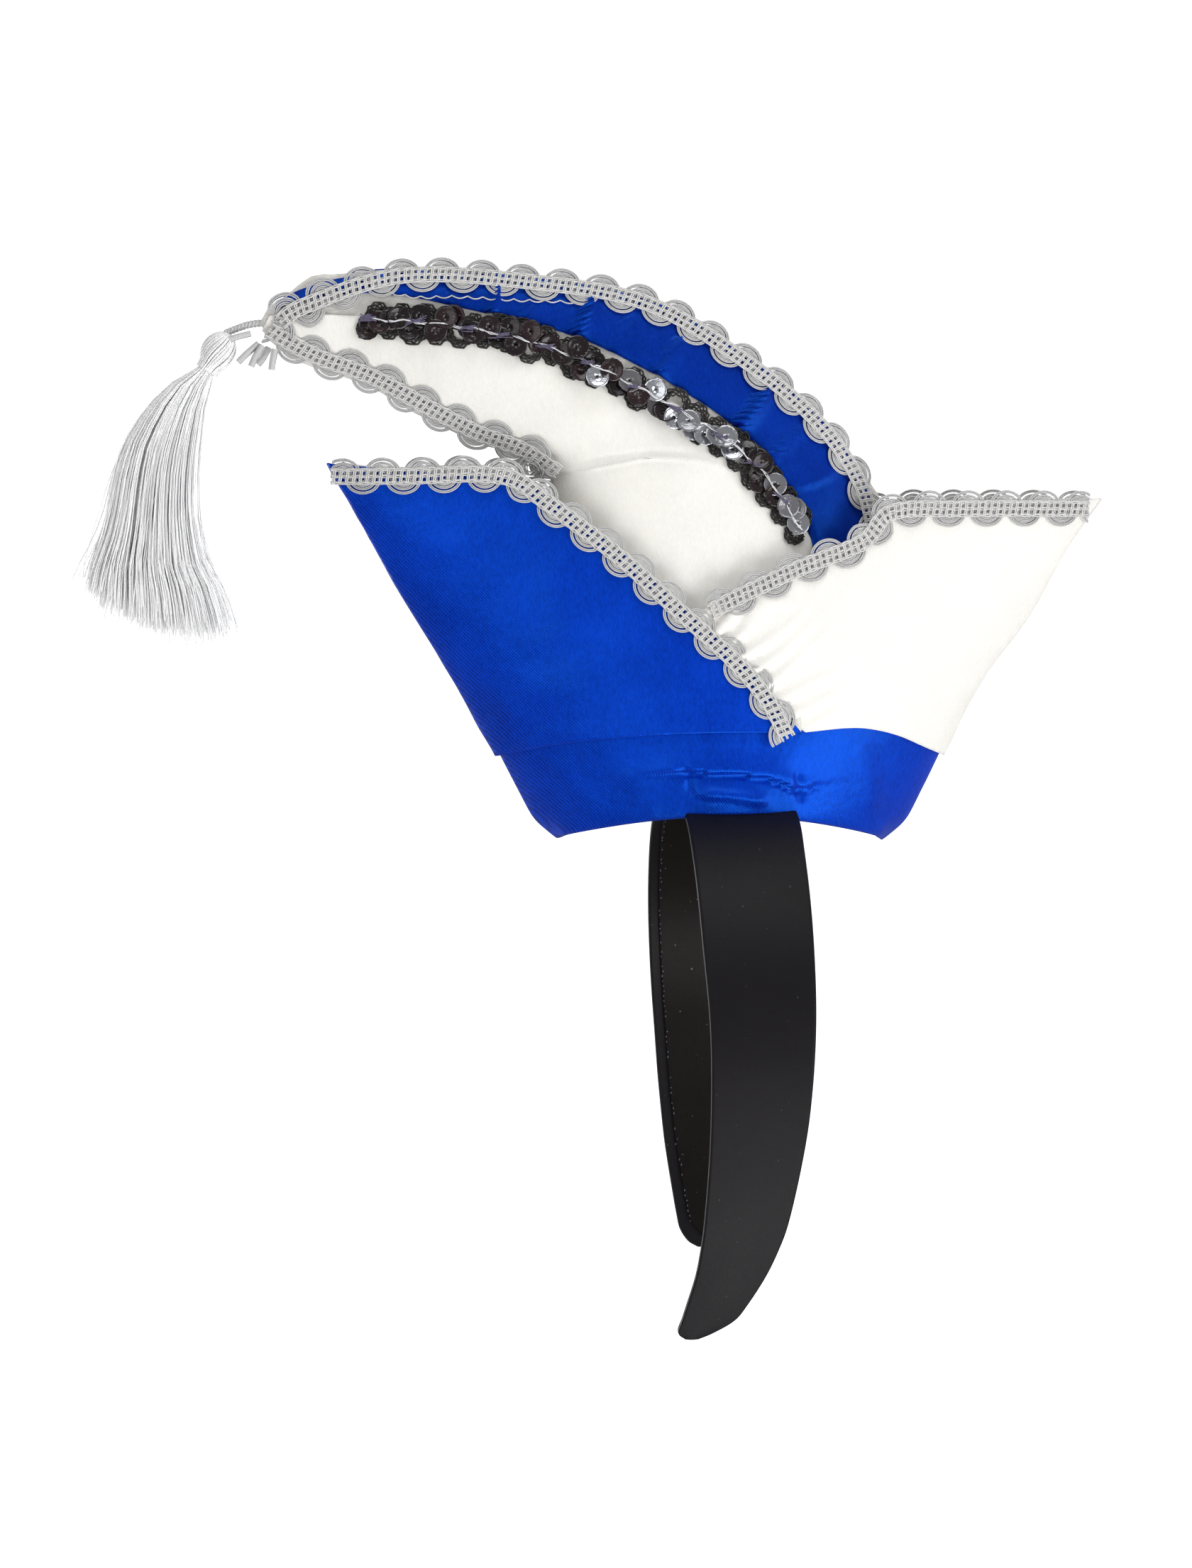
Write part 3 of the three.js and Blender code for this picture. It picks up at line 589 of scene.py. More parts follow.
class Wire:
    """An output of a node. Arithmetic on it adds the Math nodes that work it out."""

    def __init__(self, tree: bpy.types.NodeTree, socket: bpy.types.NodeSocket) -> None:
        """Keeps the node tree and the socket."""
        self.tree = tree
        self.socket = socket

    def maths(self, operation: str, *values: "float | Wire", clamp: bool = False) -> "Wire":
        """Adds a Math node.

        Args:
            operation: The node's operation.
            values: Its inputs, numbers or wires.
            clamp: Whether the result is kept from 0 to 1.

        Returns:
            The node's output.
        """
        node = self.tree.nodes.new("ShaderNodeMath")
        node.operation = operation
        node.use_clamp = clamp
        for socket, value in zip(node.inputs, values):
            if isinstance(value, Wire):
                self.tree.links.new(value.socket, socket)
            else:
                socket.default_value = value
        return Wire(self.tree, node.outputs[0])

    def __add__(self, other: "float | Wire") -> "Wire":
        """Sum."""
        return self.maths("ADD", self, other)

    def __radd__(self, other: float) -> "Wire":
        """Sum, from the right."""
        return self.maths("ADD", other, self)

    def __sub__(self, other: "float | Wire") -> "Wire":
        """Difference."""
        return self.maths("SUBTRACT", self, other)

    def __rsub__(self, other: float) -> "Wire":
        """Difference, from the right."""
        return self.maths("SUBTRACT", other, self)

    def __mul__(self, other: "float | Wire") -> "Wire":
        """Product."""
        return self.maths("MULTIPLY", self, other)

    def __rmul__(self, other: float) -> "Wire":
        """Product, from the right."""
        return self.maths("MULTIPLY", other, self)

    def __pow__(self, other: "float | Wire") -> "Wire":
        """Power."""
        return self.maths("POWER", self, other)

    def sine(self) -> "Wire":
        """Sine of an angle."""
        return self.maths("SINE", self)

    def least(self, other: "float | Wire") -> "Wire":
        """The smaller of the other value and 0.5; this wire's own value is left out."""
        return self.maths("MINIMUM", other)

    def kept(self) -> "Wire":
        """The same value, kept from 0 to 1."""
        return self.maths("ADD", self, 0.0, clamp=True)

    def step(self, low: float, high: float) -> "Wire":
        """0 below low, 1 above high, and a straight rise between."""
        return self.maths("MULTIPLY", self - low, 1 / (high - low), clamp=True)


class Paint:
    """A material in the making: its tree, its shader, and short ways to add nodes."""

    def __init__(self, name: str) -> None:
        """Starts a material with a Principled shader."""
        self.material = bpy.data.materials.new(name)
        self.material.use_nodes = True
        self.tree = self.material.node_tree
        self.tree.nodes.clear()
        self.shader = self.node("ShaderNodeBsdfPrincipled")
        self.node("ShaderNodeOutputMaterial", sockets={"Surface": self.shader.outputs[0]})
        self.coordinates = self.node("ShaderNodeTexCoord").outputs["Object"]

    def node(self, kind: str, settings: dict | None = None, sockets: dict | None = None) -> bpy.types.Node:
        """Adds a node.

        Args:
            kind: Its type.
            settings: Its properties, set first.
            sockets: Values or links for its inputs, by name or number.

        Returns:
            The node.
        """
        made = self.tree.nodes.new(kind)
        for name, value in (settings or {}).items():
            setattr(made, name, value)
        for name, value in (sockets or {}).items():
            if isinstance(value, Wire):
                value = value.socket
            if isinstance(value, bpy.types.NodeSocket):
                self.tree.links.new(value, made.inputs[name])
            else:
                made.inputs[name].default_value = value
        return made

    def noise(self, size: float, detail: float = 2.0, stretch: Sequence[float] = (1, 1, 1)) -> Wire:
        """A noise over the object.

        Args:
            size: About how far apart its swells are, in metres.
            detail: How many finer layers it has.
            stretch: How much longer the swells are along each axis.

        Returns:
            A value from 0 to 1.
        """
        scaled = self.node("ShaderNodeMapping", sockets={
            "Vector": self.coordinates, "Scale": [1 / (size * s) for s in stretch],
        })
        noise = self.node("ShaderNodeTexNoise", sockets={
            "Vector": scaled.outputs[0], "Scale": 1.0, "Detail": detail, "Roughness": 0.6,
        })
        return Wire(self.tree, noise.outputs[0])

    def axes(self) -> tuple[Wire, Wire, Wire]:
        """The object coordinates, one wire an axis."""
        split = self.node("ShaderNodeSeparateXYZ", sockets={0: self.coordinates})
        x, y, z = (Wire(self.tree, out) for out in split.outputs)
        return x, y, z

    def facing(self) -> Wire:
        """How far the surface faces sideways, out from the cap: 1 on a thread's crown, 0 on its flanks."""
        parts = self.node("ShaderNodeSeparateXYZ", sockets={
            "Vector": self.node("ShaderNodeNewGeometry").outputs["Normal"],
        })
        return Wire(self.tree, parts.outputs["Y"]).maths("ABSOLUTE")

    def attribute(self, name: str) -> Wire:
        """A value stored on the mesh."""
        return Wire(self.tree, self.node("ShaderNodeAttribute", {"attribute_name": name}).outputs["Fac"])

    def blend(self, factor: Wire, low: "Sequence[float] | Wire", high: "Sequence[float] | Wire") -> Wire:
        """A colour between two others."""
        full = [c if isinstance(c, Wire) else (*c, 1.0) for c in (low, high)]
        mix = self.node("ShaderNodeMix", {"data_type": "RGBA"}, {0: factor, 6: full[0], 7: full[1]})
        return Wire(self.tree, mix.outputs[2])

    def bump(self, height: Wire, depth: float, strength: float = 1.0) -> None:
        """Roughens the shader's surface by a height, depth metres at its most."""
        node = self.node("ShaderNodeBump", sockets={
            "Height": height, "Distance": depth, "Strength": strength,
        })
        self.wear(Normal=node.outputs[0])

    def wear(self, **values: "float | Sequence[float] | Wire | bpy.types.NodeSocket") -> None:
        """Sets or links the shader's own sockets, an underscore for a space in a name."""
        for name, value in values.items():
            socket = self.shader.inputs[name.replace("_", " ")]
            if isinstance(value, Wire):
                self.tree.links.new(value.socket, socket)
            elif isinstance(value, bpy.types.NodeSocket):
                self.tree.links.new(value, socket)
            else:
                socket.default_value = value


# Finishes

@dataclass(frozen=True)
class Satin:
    """Satin: fine twill lines, a soft gloss, and an uneven sheen painted into its colour as flecks and clouds.
    """

    name: str
    colour: tuple[float, float, float]
    # The shade end of the painted sheen.
    deep: tuple[float, float, float]
    tint: tuple[float, float, float] = (1.0, 1.0, 1.0)
    gloss: float = 0.5
    roughness: float = 0.42
    metallic: float = 0.0
    pitch: float = 0.48 * MM
    slope: float = 0.87
    line_depth: float = 0.035 * MM
    mottle: float = 2.5
    stain: tuple[float, float, float] | None = None

    def make(self) -> bpy.types.Material:
        """The material."""
        paint = Paint(self.name)
        x, y, z = paint.axes()
        across = (x * math.sin(self.slope) + z * math.cos(self.slope) + y * 0.4) * (TAU / self.pitch)
        lines = (across + paint.noise(1.6 * MM) * 5).sine() * 0.5 + 0.5
        fleck = paint.noise(0.5 * MM, 3, (1, 1, 3))
        cloud = paint.noise(17 * MM, 3)
        # Painted sheen: the base colour runs from deep to full colour by the twill lines, partly the weave's
        # own pattern, and by flecks and broad clouds that paint the highlights and shade of an uneven sheen.
        shade = lines * 0.3 + fleck * 0.45 + cloud * 0.35
        colour = paint.blend(shade.step(0.3, 0.76), self.deep, self.colour)
        if self.stain is not None:
            colour = paint.blend(paint.noise(24 * MM, 4).step(0.52, 0.8) * 0.6, colour, self.stain)
        paint.wear(Base_Color=colour, Roughness=self.roughness - 0.08 + cloud * 0.12 + fleck * 0.08)
        paint.wear(Specular_Tint=(*self.tint, 1.0), Specular_IOR_Level=self.gloss, Metallic=self.metallic)
        swells = paint.noise(3.2 * MM, 3) * self.mottle
        paint.bump(lines * 0.6 + fleck * 0.7 + swells, self.line_depth)
        return paint.material


@dataclass(frozen=True)
class Felt:
    """Needle felt: matte, with a soft pile and a few darker fibres."""

    name: str = "white_felt_finish"
    colour: tuple[float, float, float] = (0.83, 0.82, 0.78)
    deep: tuple[float, float, float] = (0.62, 0.6, 0.55)

    def make(self) -> bpy.types.Material:
        """The material."""
        paint = Paint(self.name)
        fibres = paint.noise(0.45 * MM, 5, (2.5, 1, 1))
        clumps = paint.noise(2.4 * MM, 4)
        paint.wear(
            Base_Color=paint.blend((fibres * 0.6 + clumps * 0.5).step(0.3, 0.75), self.deep, self.colour),
            Roughness=0.9 + fibres * 0.1,
            Sheen_Weight=0.35,
            Sheen_Roughness=0.5,
        )
        paint.bump(fibres + clumps * 0.8, 0.16 * MM)
        return paint.material


@dataclass(frozen=True)
class MetalThread:
    """Metal thread: foil wound round a core, bright, with painted dark glints in its colour as painted
    reflection, and painted shade on the flanks of braid threads.
    """

    name: str
    bright: tuple[float, float, float] = (0.93, 0.93, 0.93)
    # The colour of the painted dark glints and of the painted shade on the flanks.
    dark: tuple[float, float, float] = (0.2, 0.2, 0.205)
    glint: float = 0.42 * MM
    # The share of the glint noise that is painted dark, as painted reflection.
    painted_glint_share: float = 0.36
    roughness: float = 0.3
    metallic: float = 0.75
    # The facing below which a thread's flanks are painted dark as shade; 0 paints no flank shade.
    flank_shade: float = 0.0

    def make(self) -> bpy.types.Material:
        """The material."""
        paint = Paint(self.name)
        glints = paint.noise(self.glint, 3)
        turns = paint.noise(self.glint * 0.45, 2)
        # Painted light: noise glints paint dark reflections into the base colour. Where the flank threshold is
        # set, the mask is instead the thread's facing: flanks that turn away from the cap's sides get the dark
        # colour as painted shade, crowns reach only half way to the bright colour, and the glints no longer
        # reach the colour.
        painted_shade_mask = glints.step(self.painted_glint_share, self.painted_glint_share + 0.2)
        if self.flank_shade > 0:
            painted_shade_mask = painted_shade_mask.least(paint.facing().step(self.flank_shade * 0.55, self.flank_shade))
        paint.wear(
            Base_Color=paint.blend(painted_shade_mask, self.dark, self.bright),
            Roughness=self.roughness + turns * 0.25,
            Metallic=self.metallic,
            Specular_IOR_Level=1.0,
        )
        paint.bump(turns + glints * 0.5, 0.12 * MM)
        return paint.material


@dataclass(frozen=True)
class Foil:
    """Sequin foil: smooth and glossy, from black and brown to mirror silver."""

    name: str = "sequin_foil"
    black: tuple[float, float, float] = (0.005, 0.004, 0.005)
    brown: tuple[float, float, float] = (0.02, 0.01, 0.012)
    silver: tuple[float, float, float] = (0.5, 0.52, 0.56)

    def make(self) -> bpy.types.Material:
        """The material."""
        paint = Paint(self.name)
        shade = paint.attribute("shade")
        scratches = paint.noise(0.35 * MM, 3, (5, 1, 1))
        dark = paint.blend(shade.step(0.0, 0.45), self.black, self.brown)
        colour = paint.blend(shade.step(0.55, 0.95), dark, self.silver)
        paint.wear(
            Base_Color=paint.blend(scratches.step(0.62, 0.75) * 0.35, colour, (0.6, 0.6, 0.62)),
            Roughness=0.08 + scratches * 0.16,
            Metallic=shade.step(0.5, 0.9) * 0.8 + 0.1,
            Coat_Weight=0.3,
            Coat_Roughness=0.04,
            Specular_IOR_Level=0.25,
        )
        paint.bump(scratches + paint.noise(1.4 * MM) * 2, 0.05 * MM)
        return paint.material


@dataclass(frozen=True)
class Yarn:
    """Crochet yarn with a little lurex in it."""

    name: str
    colour: tuple[float, float, float]
    light: tuple[float, float, float]
    roughness: float = 0.5

    def make(self) -> bpy.types.Material:
        """The material."""
        paint = Paint(self.name)
        ply = paint.noise(0.3 * MM, 3)
        paint.wear(
            Base_Color=paint.blend(ply.step(0.58, 0.7), self.colour, self.light),
            Roughness=self.roughness + ply * 0.25,
        )
        paint.bump(ply, 0.15 * MM)
        return paint.material


@dataclass(frozen=True)
class BlackCloth:
    """Black cloth of the headband, with a soft gloss and specks of lint."""

    name: str
    colour: tuple[float, float, float] = (0.0045, 0.0035, 0.005)
    light: tuple[float, float, float] = (0.009, 0.0075, 0.0095)
    roughness: float = 0.4
    lint: tuple[float, float, float] = (0.05, 0.047, 0.052)
    grain: float = 0.3 * MM
    gloss: float = 0.3

    def make(self) -> bpy.types.Material:
        """The material."""
        paint = Paint(self.name)
        weave = paint.noise(self.grain, 2, (1, 1, 2.5))
        cloud = paint.noise(15 * MM, 3)
        specks = paint.noise(1.1 * MM, 1).step(0.76, 0.8)
        base = paint.blend(weave * 0.5 + cloud * 0.5, self.colour, self.light)
        paint.wear(
            Base_Color=paint.blend(specks * 0.6, base, self.lint),
            Roughness=self.roughness + weave * 0.12 + cloud * 0.1,
            Specular_IOR_Level=self.gloss,
        )
        paint.bump(weave + cloud * 2, 0.04 * MM)
        return paint.material


@dataclass(frozen=True)
class Wardrobe:
    """Every finish of the cap, made once."""

    blue: bpy.types.Material
    stripe: bpy.types.Material
    ivory: bpy.types.Material
    felt: bpy.types.Material
    braid: bpy.types.Material
    braid_core: bpy.types.Material
    tassel: bpy.types.Material
    foil: bpy.types.Material
    crochet: bpy.types.Material
    bead_thread: bpy.types.Material
    knot: bpy.types.Material
    band: bpy.types.Material
    lining: bpy.types.Material

    @classmethod
    def stocked(cls) -> "Wardrobe":
        """Makes the finishes."""
        return cls(
            # Each satin's second colour is the shade end of its painted sheen.
            blue=Satin("blue_satin_finish", (0.0025, 0.048, 0.64), (0.0006, 0.007, 0.22),
                       (0.03, 0.45, 1.0), 0.9, 0.35, 0.25, mottle=6.0).make(),
            stripe=Satin("stripe_satin_finish", (0.002, 0.026, 0.4), (0.0005, 0.004, 0.14),
                         (0.03, 0.45, 1.0), 0.8, 0.36, 0.25, mottle=6.0).make(),
            ivory=Satin("ivory_satin_finish", (0.88, 0.87, 0.84), (0.75, 0.73, 0.68),
                        stain=(0.9, 0.865, 0.79), gloss=0.35).make(),
            felt=Felt().make(),
            # Each metal thread's second colour is its painted dark glints, as painted reflection, and on braid
            # and weave also its painted flank shade.
            braid=MetalThread("braid_cord_finish", (1.0, 1.0, 1.0), (0.03, 0.028, 0.028), painted_glint_share=0.14,
                              roughness=0.22, metallic=0.05, flank_shade=0.26).make(),
            braid_core=MetalThread("braid_weave_finish", (1.0, 1.0, 0.99), (0.3, 0.29, 0.28),
                                   0.35 * MM, 0.1, 0.4, 0.0, 0.12).make(),
            tassel=MetalThread("tassel_thread_finish", (1.0, 1.0, 1.0), (0.55, 0.55, 0.56),
                               0.6 * MM, 0.18, 0.25, 0.05).make(),
            foil=Foil().make(),
            crochet=Yarn("crochet_finish", (0.006, 0.005, 0.005), (0.16, 0.15, 0.13)).make(),
            bead_thread=Yarn("bead_thread_finish", (0.75, 0.75, 0.78), (0.95, 0.95, 0.95), 0.2).make(),
            knot=Yarn("knot_thread_finish", (0.1, 0.085, 0.15), (0.3, 0.28, 0.38)).make(),
            band=BlackCloth("band_satin_finish", (0.0025, 0.002, 0.003), (0.005, 0.004, 0.0055),
                            gloss=0.16).make(),
            lining=BlackCloth("band_lining_finish", (0.003, 0.0025, 0.0025), (0.007, 0.006, 0.005),
                              0.34, (0.2, 0.19, 0.15), 0.6 * MM, 0.1).make(),
        )


# The studio

@dataclass(frozen=True)
class Studio:
    """The camera at the photograph's place, a pale floor and backdrop, and soft light."""

    camera_place: tuple[float, float, float] = (-0.10867, -0.99046, 0.09078)
    camera_turn: tuple[float, float, float] = (85.0, 0.0, -4.4)
    lens_mm: float = 89.6
    sensor_mm: float = 36.0
    floor_drop: float = 0.7
    floor_size: float = 10.0
    sky_strength: float = 0.34
    # Place, size in metres, and power in watts of each light
    lamps = (
        ((-0.95, -1.05, 0.3), 0.9, 4.0),
        ((1.1, -0.95, -0.05), 0.8, 8.6),
        ((0.15, -0.62, -0.5), 0.5, 4.4),
        ((0.1, -0.45, 1.3), 0.8, 7.2),
        ((0.9, 1.1, 0.3), 0.9, 9.5),
        ((-1.0, 1.0, 0.0), 0.8, 8.5),
    )

    def set_up(self) -> None:
        """Makes the camera, the floor, the lamps and the sky."""
        data = bpy.data.cameras.new("camera")
        data.sensor_width = self.sensor_mm
        data.lens = self.lens_mm
        camera = bpy.data.objects.new("camera", data)
        camera.location = self.camera_place
        camera.rotation_euler = [math.radians(a) for a in self.camera_turn]
        bpy.context.scene.collection.objects.link(camera)
        bpy.context.scene.camera = camera
        self.surround()
        for i, (place, size, power) in enumerate(self.lamps):
            self.lamp(f"lamp_{i}", Vector(place), size, power)
        self.sky()
        bpy.context.scene.view_settings.view_transform = "Standard"

    def surround(self) -> None:
        """A plain white floor below the headband's tips, and a white backdrop all round."""
        paint = Paint("studio_white")
        grain = paint.noise(0.4, 2)
        paint.wear(Base_Color=paint.blend(grain, (0.9, 0.9, 0.9), (0.93, 0.93, 0.93)), Roughness=0.9)
        paint.wear(Emission_Color=(1.0, 1.0, 1.0, 1.0), Emission_Strength=1.0)
        flat = bmesh.new()
        bmesh.ops.create_grid(flat, x_segments=2, y_segments=2, size=self.floor_size)
        bmesh.ops.translate(flat, verts=flat.verts, vec=(0, 0, CAD_BOX[0].z - self.floor_drop))
        dome = bmesh.new()
        bmesh.ops.create_uvsphere(dome, u_segments=32, v_segments=16, radius=self.floor_size)
        bmesh.ops.reverse_faces(dome, faces=dome.faces)
        for name, bm in (("floor", flat), ("backdrop", dome)):
            piece = to_object(name, bm, paint.material)
            piece.visible_diffuse = piece.visible_glossy = piece.visible_shadow = False

    def lamp(self, name: str, place: Vector, size: float, power: float) -> None:
        """A square soft light that faces the cap."""
        data = bpy.data.lights.new(name, "AREA")
        data.size = size
        data.energy = power
        lamp = bpy.data.objects.new(name, data)
        lamp.location = place
        lamp.rotation_euler = (-place).to_track_quat("-Z", "Y").to_euler()
        bpy.context.scene.collection.objects.link(lamp)

    def sky(self) -> None:
        """A dim white sky, which fills the shadows."""
        world = bpy.data.worlds.new("sky")
        world.use_nodes = True
        tree = world.node_tree
        tree.nodes["Background"].inputs["Color"].default_value = (1, 1, 1, 1)
        tree.nodes["Background"].inputs["Strength"].default_value = self.sky_strength
        bpy.context.scene.world = world


# The headband

@dataclass(frozen=True)
class Headband:
    """A bent band in black satin with a strip glued inside it."""

    radius: float = 63 * MM
    drop: float = 127 * MM
    tip_spread: float = 52 * MM
    width: float = 28.4 * MM
    centre: float = 0.8 * MM
    thickness: float = 2 * MM
    sweep: float = 16 * MM
    lining: float = 0.7 * MM
    lining_margin: float = 2.7 * MM
    gap: float = 0.3 * MM
    dome: float = 0.25 * MM
    glue_pitch: float = 1.4 * MM
    # Share of the leg, width, and the drifts of the near and far legs
    leg_table = (
        (0, 1, 0, 0), (0.15, 1, -0.094, 0.06), (0.25, 0.985, -0.1, 0.1), (0.4, 0.961, -0.119, 0.075),
        (0.525, 0.908, -0.144, 0.05), (0.64, 0.856, -0.106, 0.01), (0.72, 0.803, -0.037, 0),
        (0.81, 0.732, 0.082, -0.02), (0.852, 0.683, 0.169, -0.03), (0.897, 0.613, 0.3, -0.035),
        (0.945, 0.528, 0.5, -0.035), (0.97, 0.46, 0.625, -0.03), (0.99, 0.31, 0.81, -0.03),
        (1, 0.12, 0.87, -0.03),
    )

    def on_arch(self, distance: np.ndarray, lift: np.ndarray) -> tuple[np.ndarray, np.ndarray]:
        """How far out and how high a point of a leg is.

        Args:
            distance: How far along the leg from the top.
            lift: How far outside the arch's inner face.

        Returns:
            Its distance from the middle plane, and its Z.
        """
        fall, inset = self.drop - self.radius, self.radius - self.tip_spread
        leg_radius = (fall ** 2 + inset ** 2) / (2 * inset)
        quarter = self.radius * math.pi / 2
        turn = np.minimum(distance, quarter) / self.radius
        bend = np.maximum(distance - quarter, 0) / leg_radius
        upper = distance <= quarter
        out = np.where(upper, (self.radius + lift) * np.sin(turn),
                       self.radius - leg_radius + (leg_radius + lift) * np.cos(bend))
        up = np.where(upper, (self.radius + lift) * np.cos(turn) - self.radius,
                      -self.radius - (leg_radius + lift) * np.sin(bend))
        return out, up

    def leg_length(self) -> float:
        """The length of a leg along its inner face."""
        fall, inset = self.drop - self.radius, self.radius - self.tip_spread
        leg_radius = (fall ** 2 + inset ** 2) / (2 * inset)
        return self.radius * math.pi / 2 + leg_radius * math.asin(fall / leg_radius)

    def strip(self, inner: float, outer: float, margin: float, edge: float, columns: int) -> bmesh.types.BMesh:
        """A closed strip bent into the arch.

        Args:
            inner: How far outside the arch its inner face is.
            outer: How far outside the arch its outer face is.
            margin: How much narrower than the band each edge is.
            edge: A rounding radius that has no effect on the strip.
            columns: Squares along it.

        Returns:
            The mesh.
        """
        table = np.array(self.leg_table, float)
        smooth = smooth_run(table, 400)
        section = self.section(edge / (outer - inner))

        def shape(s: np.ndarray, t: np.ndarray) -> np.ndarray:
            """Points of the strip, s from the near tip to the far one and t round it."""
            reach = np.sin(np.pi / 2 * np.abs(2 * s - 1))
            width, near, far = (np.interp(reach, smooth[:, 0], smooth[:, k]) for k in (1, 2, 3))
            middle = self.centre - self.sweep * np.where(s < 0.5, near, far)
            half = np.maximum(self.width * width / 2 - margin, 0.6 * MM)
            across, height = (np.interp(t, np.linspace(0, 1, len(section)), column) for column in section.T)
            beyond = np.clip(1 - half / edge, 0, 1) if edge else 0
            x = middle + np.sign(across) * (half - edge * (1 - np.abs(across)) * 0) * np.abs(across)
            lift = inner + (outer - inner) * height + self.dome * (1 - across ** 2) * (height > 0.6)
            out, up = self.on_arch(reach * (self.leg_length() - margin), lift)
            return np.stack([x, np.where(s < 0.5, -out, out), up], 1)

        bm = bmesh.new()
        place_grid(bm, columns, len(section) - 1, shape)
        bmesh.ops.remove_doubles(bm, verts=bm.verts, dist=1e-6)
        bmesh.ops.holes_fill(bm, edges=[e for e in bm.edges if e.is_boundary], sides=0)
        bmesh.ops.recalc_face_normals(bm, faces=bm.faces)
        return bm

    @staticmethod
    def section(rounding: float) -> np.ndarray:
        """The strip's section: shares across and up, once round, with rounded edges."""
        corner = np.linspace(-math.pi / 2, math.pi / 2, 7)
        right = np.stack([0.965 + 0.035 * np.cos(corner), 0.5 + 0.5 * np.sin(corner)], 1)
        top = np.stack([np.linspace(0.93, -0.93, 9), np.ones(9)], 1)
        left = np.stack([-right[::-1, 0], right[::-1, 1]], 1)
        bottom = top[::-1] * (1, 0)
        return np.vstack([right, top, left, bottom, right[:1]])

    def build(self, wear: Wardrobe) -> None:
        """Makes the band and its lining."""
        base = self.lining + self.gap
        band = to_object("headband_satin", self.strip(base, base + self.thickness, 0, 1 * MM, 200), wear.band)
        settle(band, ["headband"])
        strip = self.strip(0, self.lining, self.lining_margin, 0.2 * MM, 200)
        lining = to_object("headband_inner_strip", strip, wear.lining)
        settle(lining, ["headband_lining"])
        length = 2 * self.leg_length()
        0.84 * (self.width - 2 * self.lining_margin) * length
        glue = thread_object("headband_glue_dots", [self.glue_dots()], [wear.knot])
        settle(glue)

    def glue_dots(self) -> bpy.types.Mesh:
        """Small beads of glue along both edges of the inner strip."""
        chance = np.random.default_rng(3)
        table = smooth_run(np.array(self.leg_table, float), 400)
        paths = []
        for leg, drift in ((-1, 2), (1, 3)):
            for reach in np.arange(0.03, 0.96, self.glue_pitch / self.leg_length()):
                width, sweep = (np.interp(reach, table[:, 0], table[:, k]) for k in (1, drift))
                half = width * self.width / 2 - self.lining_margin - 0.5 * MM
                for hand in (-1, 1):
                    if chance.random() < 0.35:
                        continue
                    size = chance.uniform(0.25, 0.6) * MM
                    distance = reach * self.leg_length() + np.array([-0.5, 0, 0.5]) * size
                    out, up = self.on_arch(distance, np.full(3, -0.05 * MM))
                    x = self.centre - self.sweep * sweep + hand * half + chance.normal(0, 0.12) * MM
                    paths.append(np.stack([np.full(3, x), leg * out, up], 1))
        return thread_mesh("glue", paths, 0.14 * MM, 4)


# Cloth on the cap

@dataclass(frozen=True)
class Panel:
    """A piece of cloth between two borders on a shell."""

    name: str
    shell: FoldedShell
    low: np.ndarray
    high: np.ndarray
    grow: float
    thickness: float
    columns: int
    rows: int
    wraps: bool = False
    side: Side = Side.NEAR
    slack: Callable[[np.ndarray, np.ndarray], np.ndarray] | None = None

    def shape(self, s: np.ndarray, t: np.ndarray, slack: bool = True) -> np.ndarray:
        """Points of the panel.

        Args:
            s: Shares of the way along. A panel that wraps goes from its far end round the fold.
            t: Shares of the way from the low border to the high one.
            slack: Whether its wrinkles show.

        Returns:
            One point a row.
        """
        along = np.abs(2 * s - 1) if self.wraps else s
        hand = np.where(s < 0.5, -1, 1) if self.wraps else np.full(len(s), -self.side.value)
        spot = between(self.low, along) * (1 - t)[:, None] + between(self.high, along) * t[:, None]
        place, turn = spot[:, 0], spot[:, 1] * hand
        grow = np.full(len(s), self.grow)
        if slack and self.slack is not None:
            flat = self.shell.on(place, turn)
            grow = grow + self.slack(flat[:, [0, 2]], hand)
        return self.shell.on(place, turn, grow)

    def build(self, material: bpy.types.Material, slot: str, nodes: Sequence[str], held: Held,
              rests_on: Sequence[str]) -> bpy.types.Object:
        """Makes the panel and ties it to the frame.

        Args:
            material: Its finish.
            slot: Not used.
            nodes: The CAD nodes that it stands for.
            held: How the cloth is held; not used.
            rests_on: What it rests on; not used.

        Returns:
            The piece.
        """
        bm = bmesh.new()
        place_grid(bm, self.columns, self.rows, self.shape)
        bmesh.ops.remove_doubles(bm, verts=bm.verts, dist=0.02 * MM)
        bmesh.ops.dissolve_degenerate(bm, edges=bm.edges, dist=0.01 * MM)
        self.face_out(bm)
        area = sum(f.calc_area() for f in bm.faces)
        obj = to_object(self.name, bm, material)
        thicken(obj, self.thickness)
        settle(obj, nodes)
        width, length = self.cut()
        return obj

    @staticmethod
    def face_out(bm: bmesh.types.BMesh) -> None:
        """Turns the faces of both sides away from the middle plane."""
        sense = sum(f.calc_area() * f.normal.y * math.copysign(1, f.calc_center_median().y) for f in bm.faces)
        if sense < 0:
            bmesh.ops.reverse_faces(bm, faces=bm.faces)

    def cut(self) -> tuple[float, float]:
        """The width and length of the flat rectangle that the panel is cut from."""
        shares = np.linspace(0, 1, 80)
        runs = []
        for fixed in np.linspace(0, 1, 5):
            level = np.full(80, fixed)
            for run in (self.shape(shares, level, False), self.shape(level, shares, False)):
                runs.append(np.linalg.norm(np.diff(run, axis=0), axis=1).sum())
        return max(runs[0::2]), max(runs[1::2])


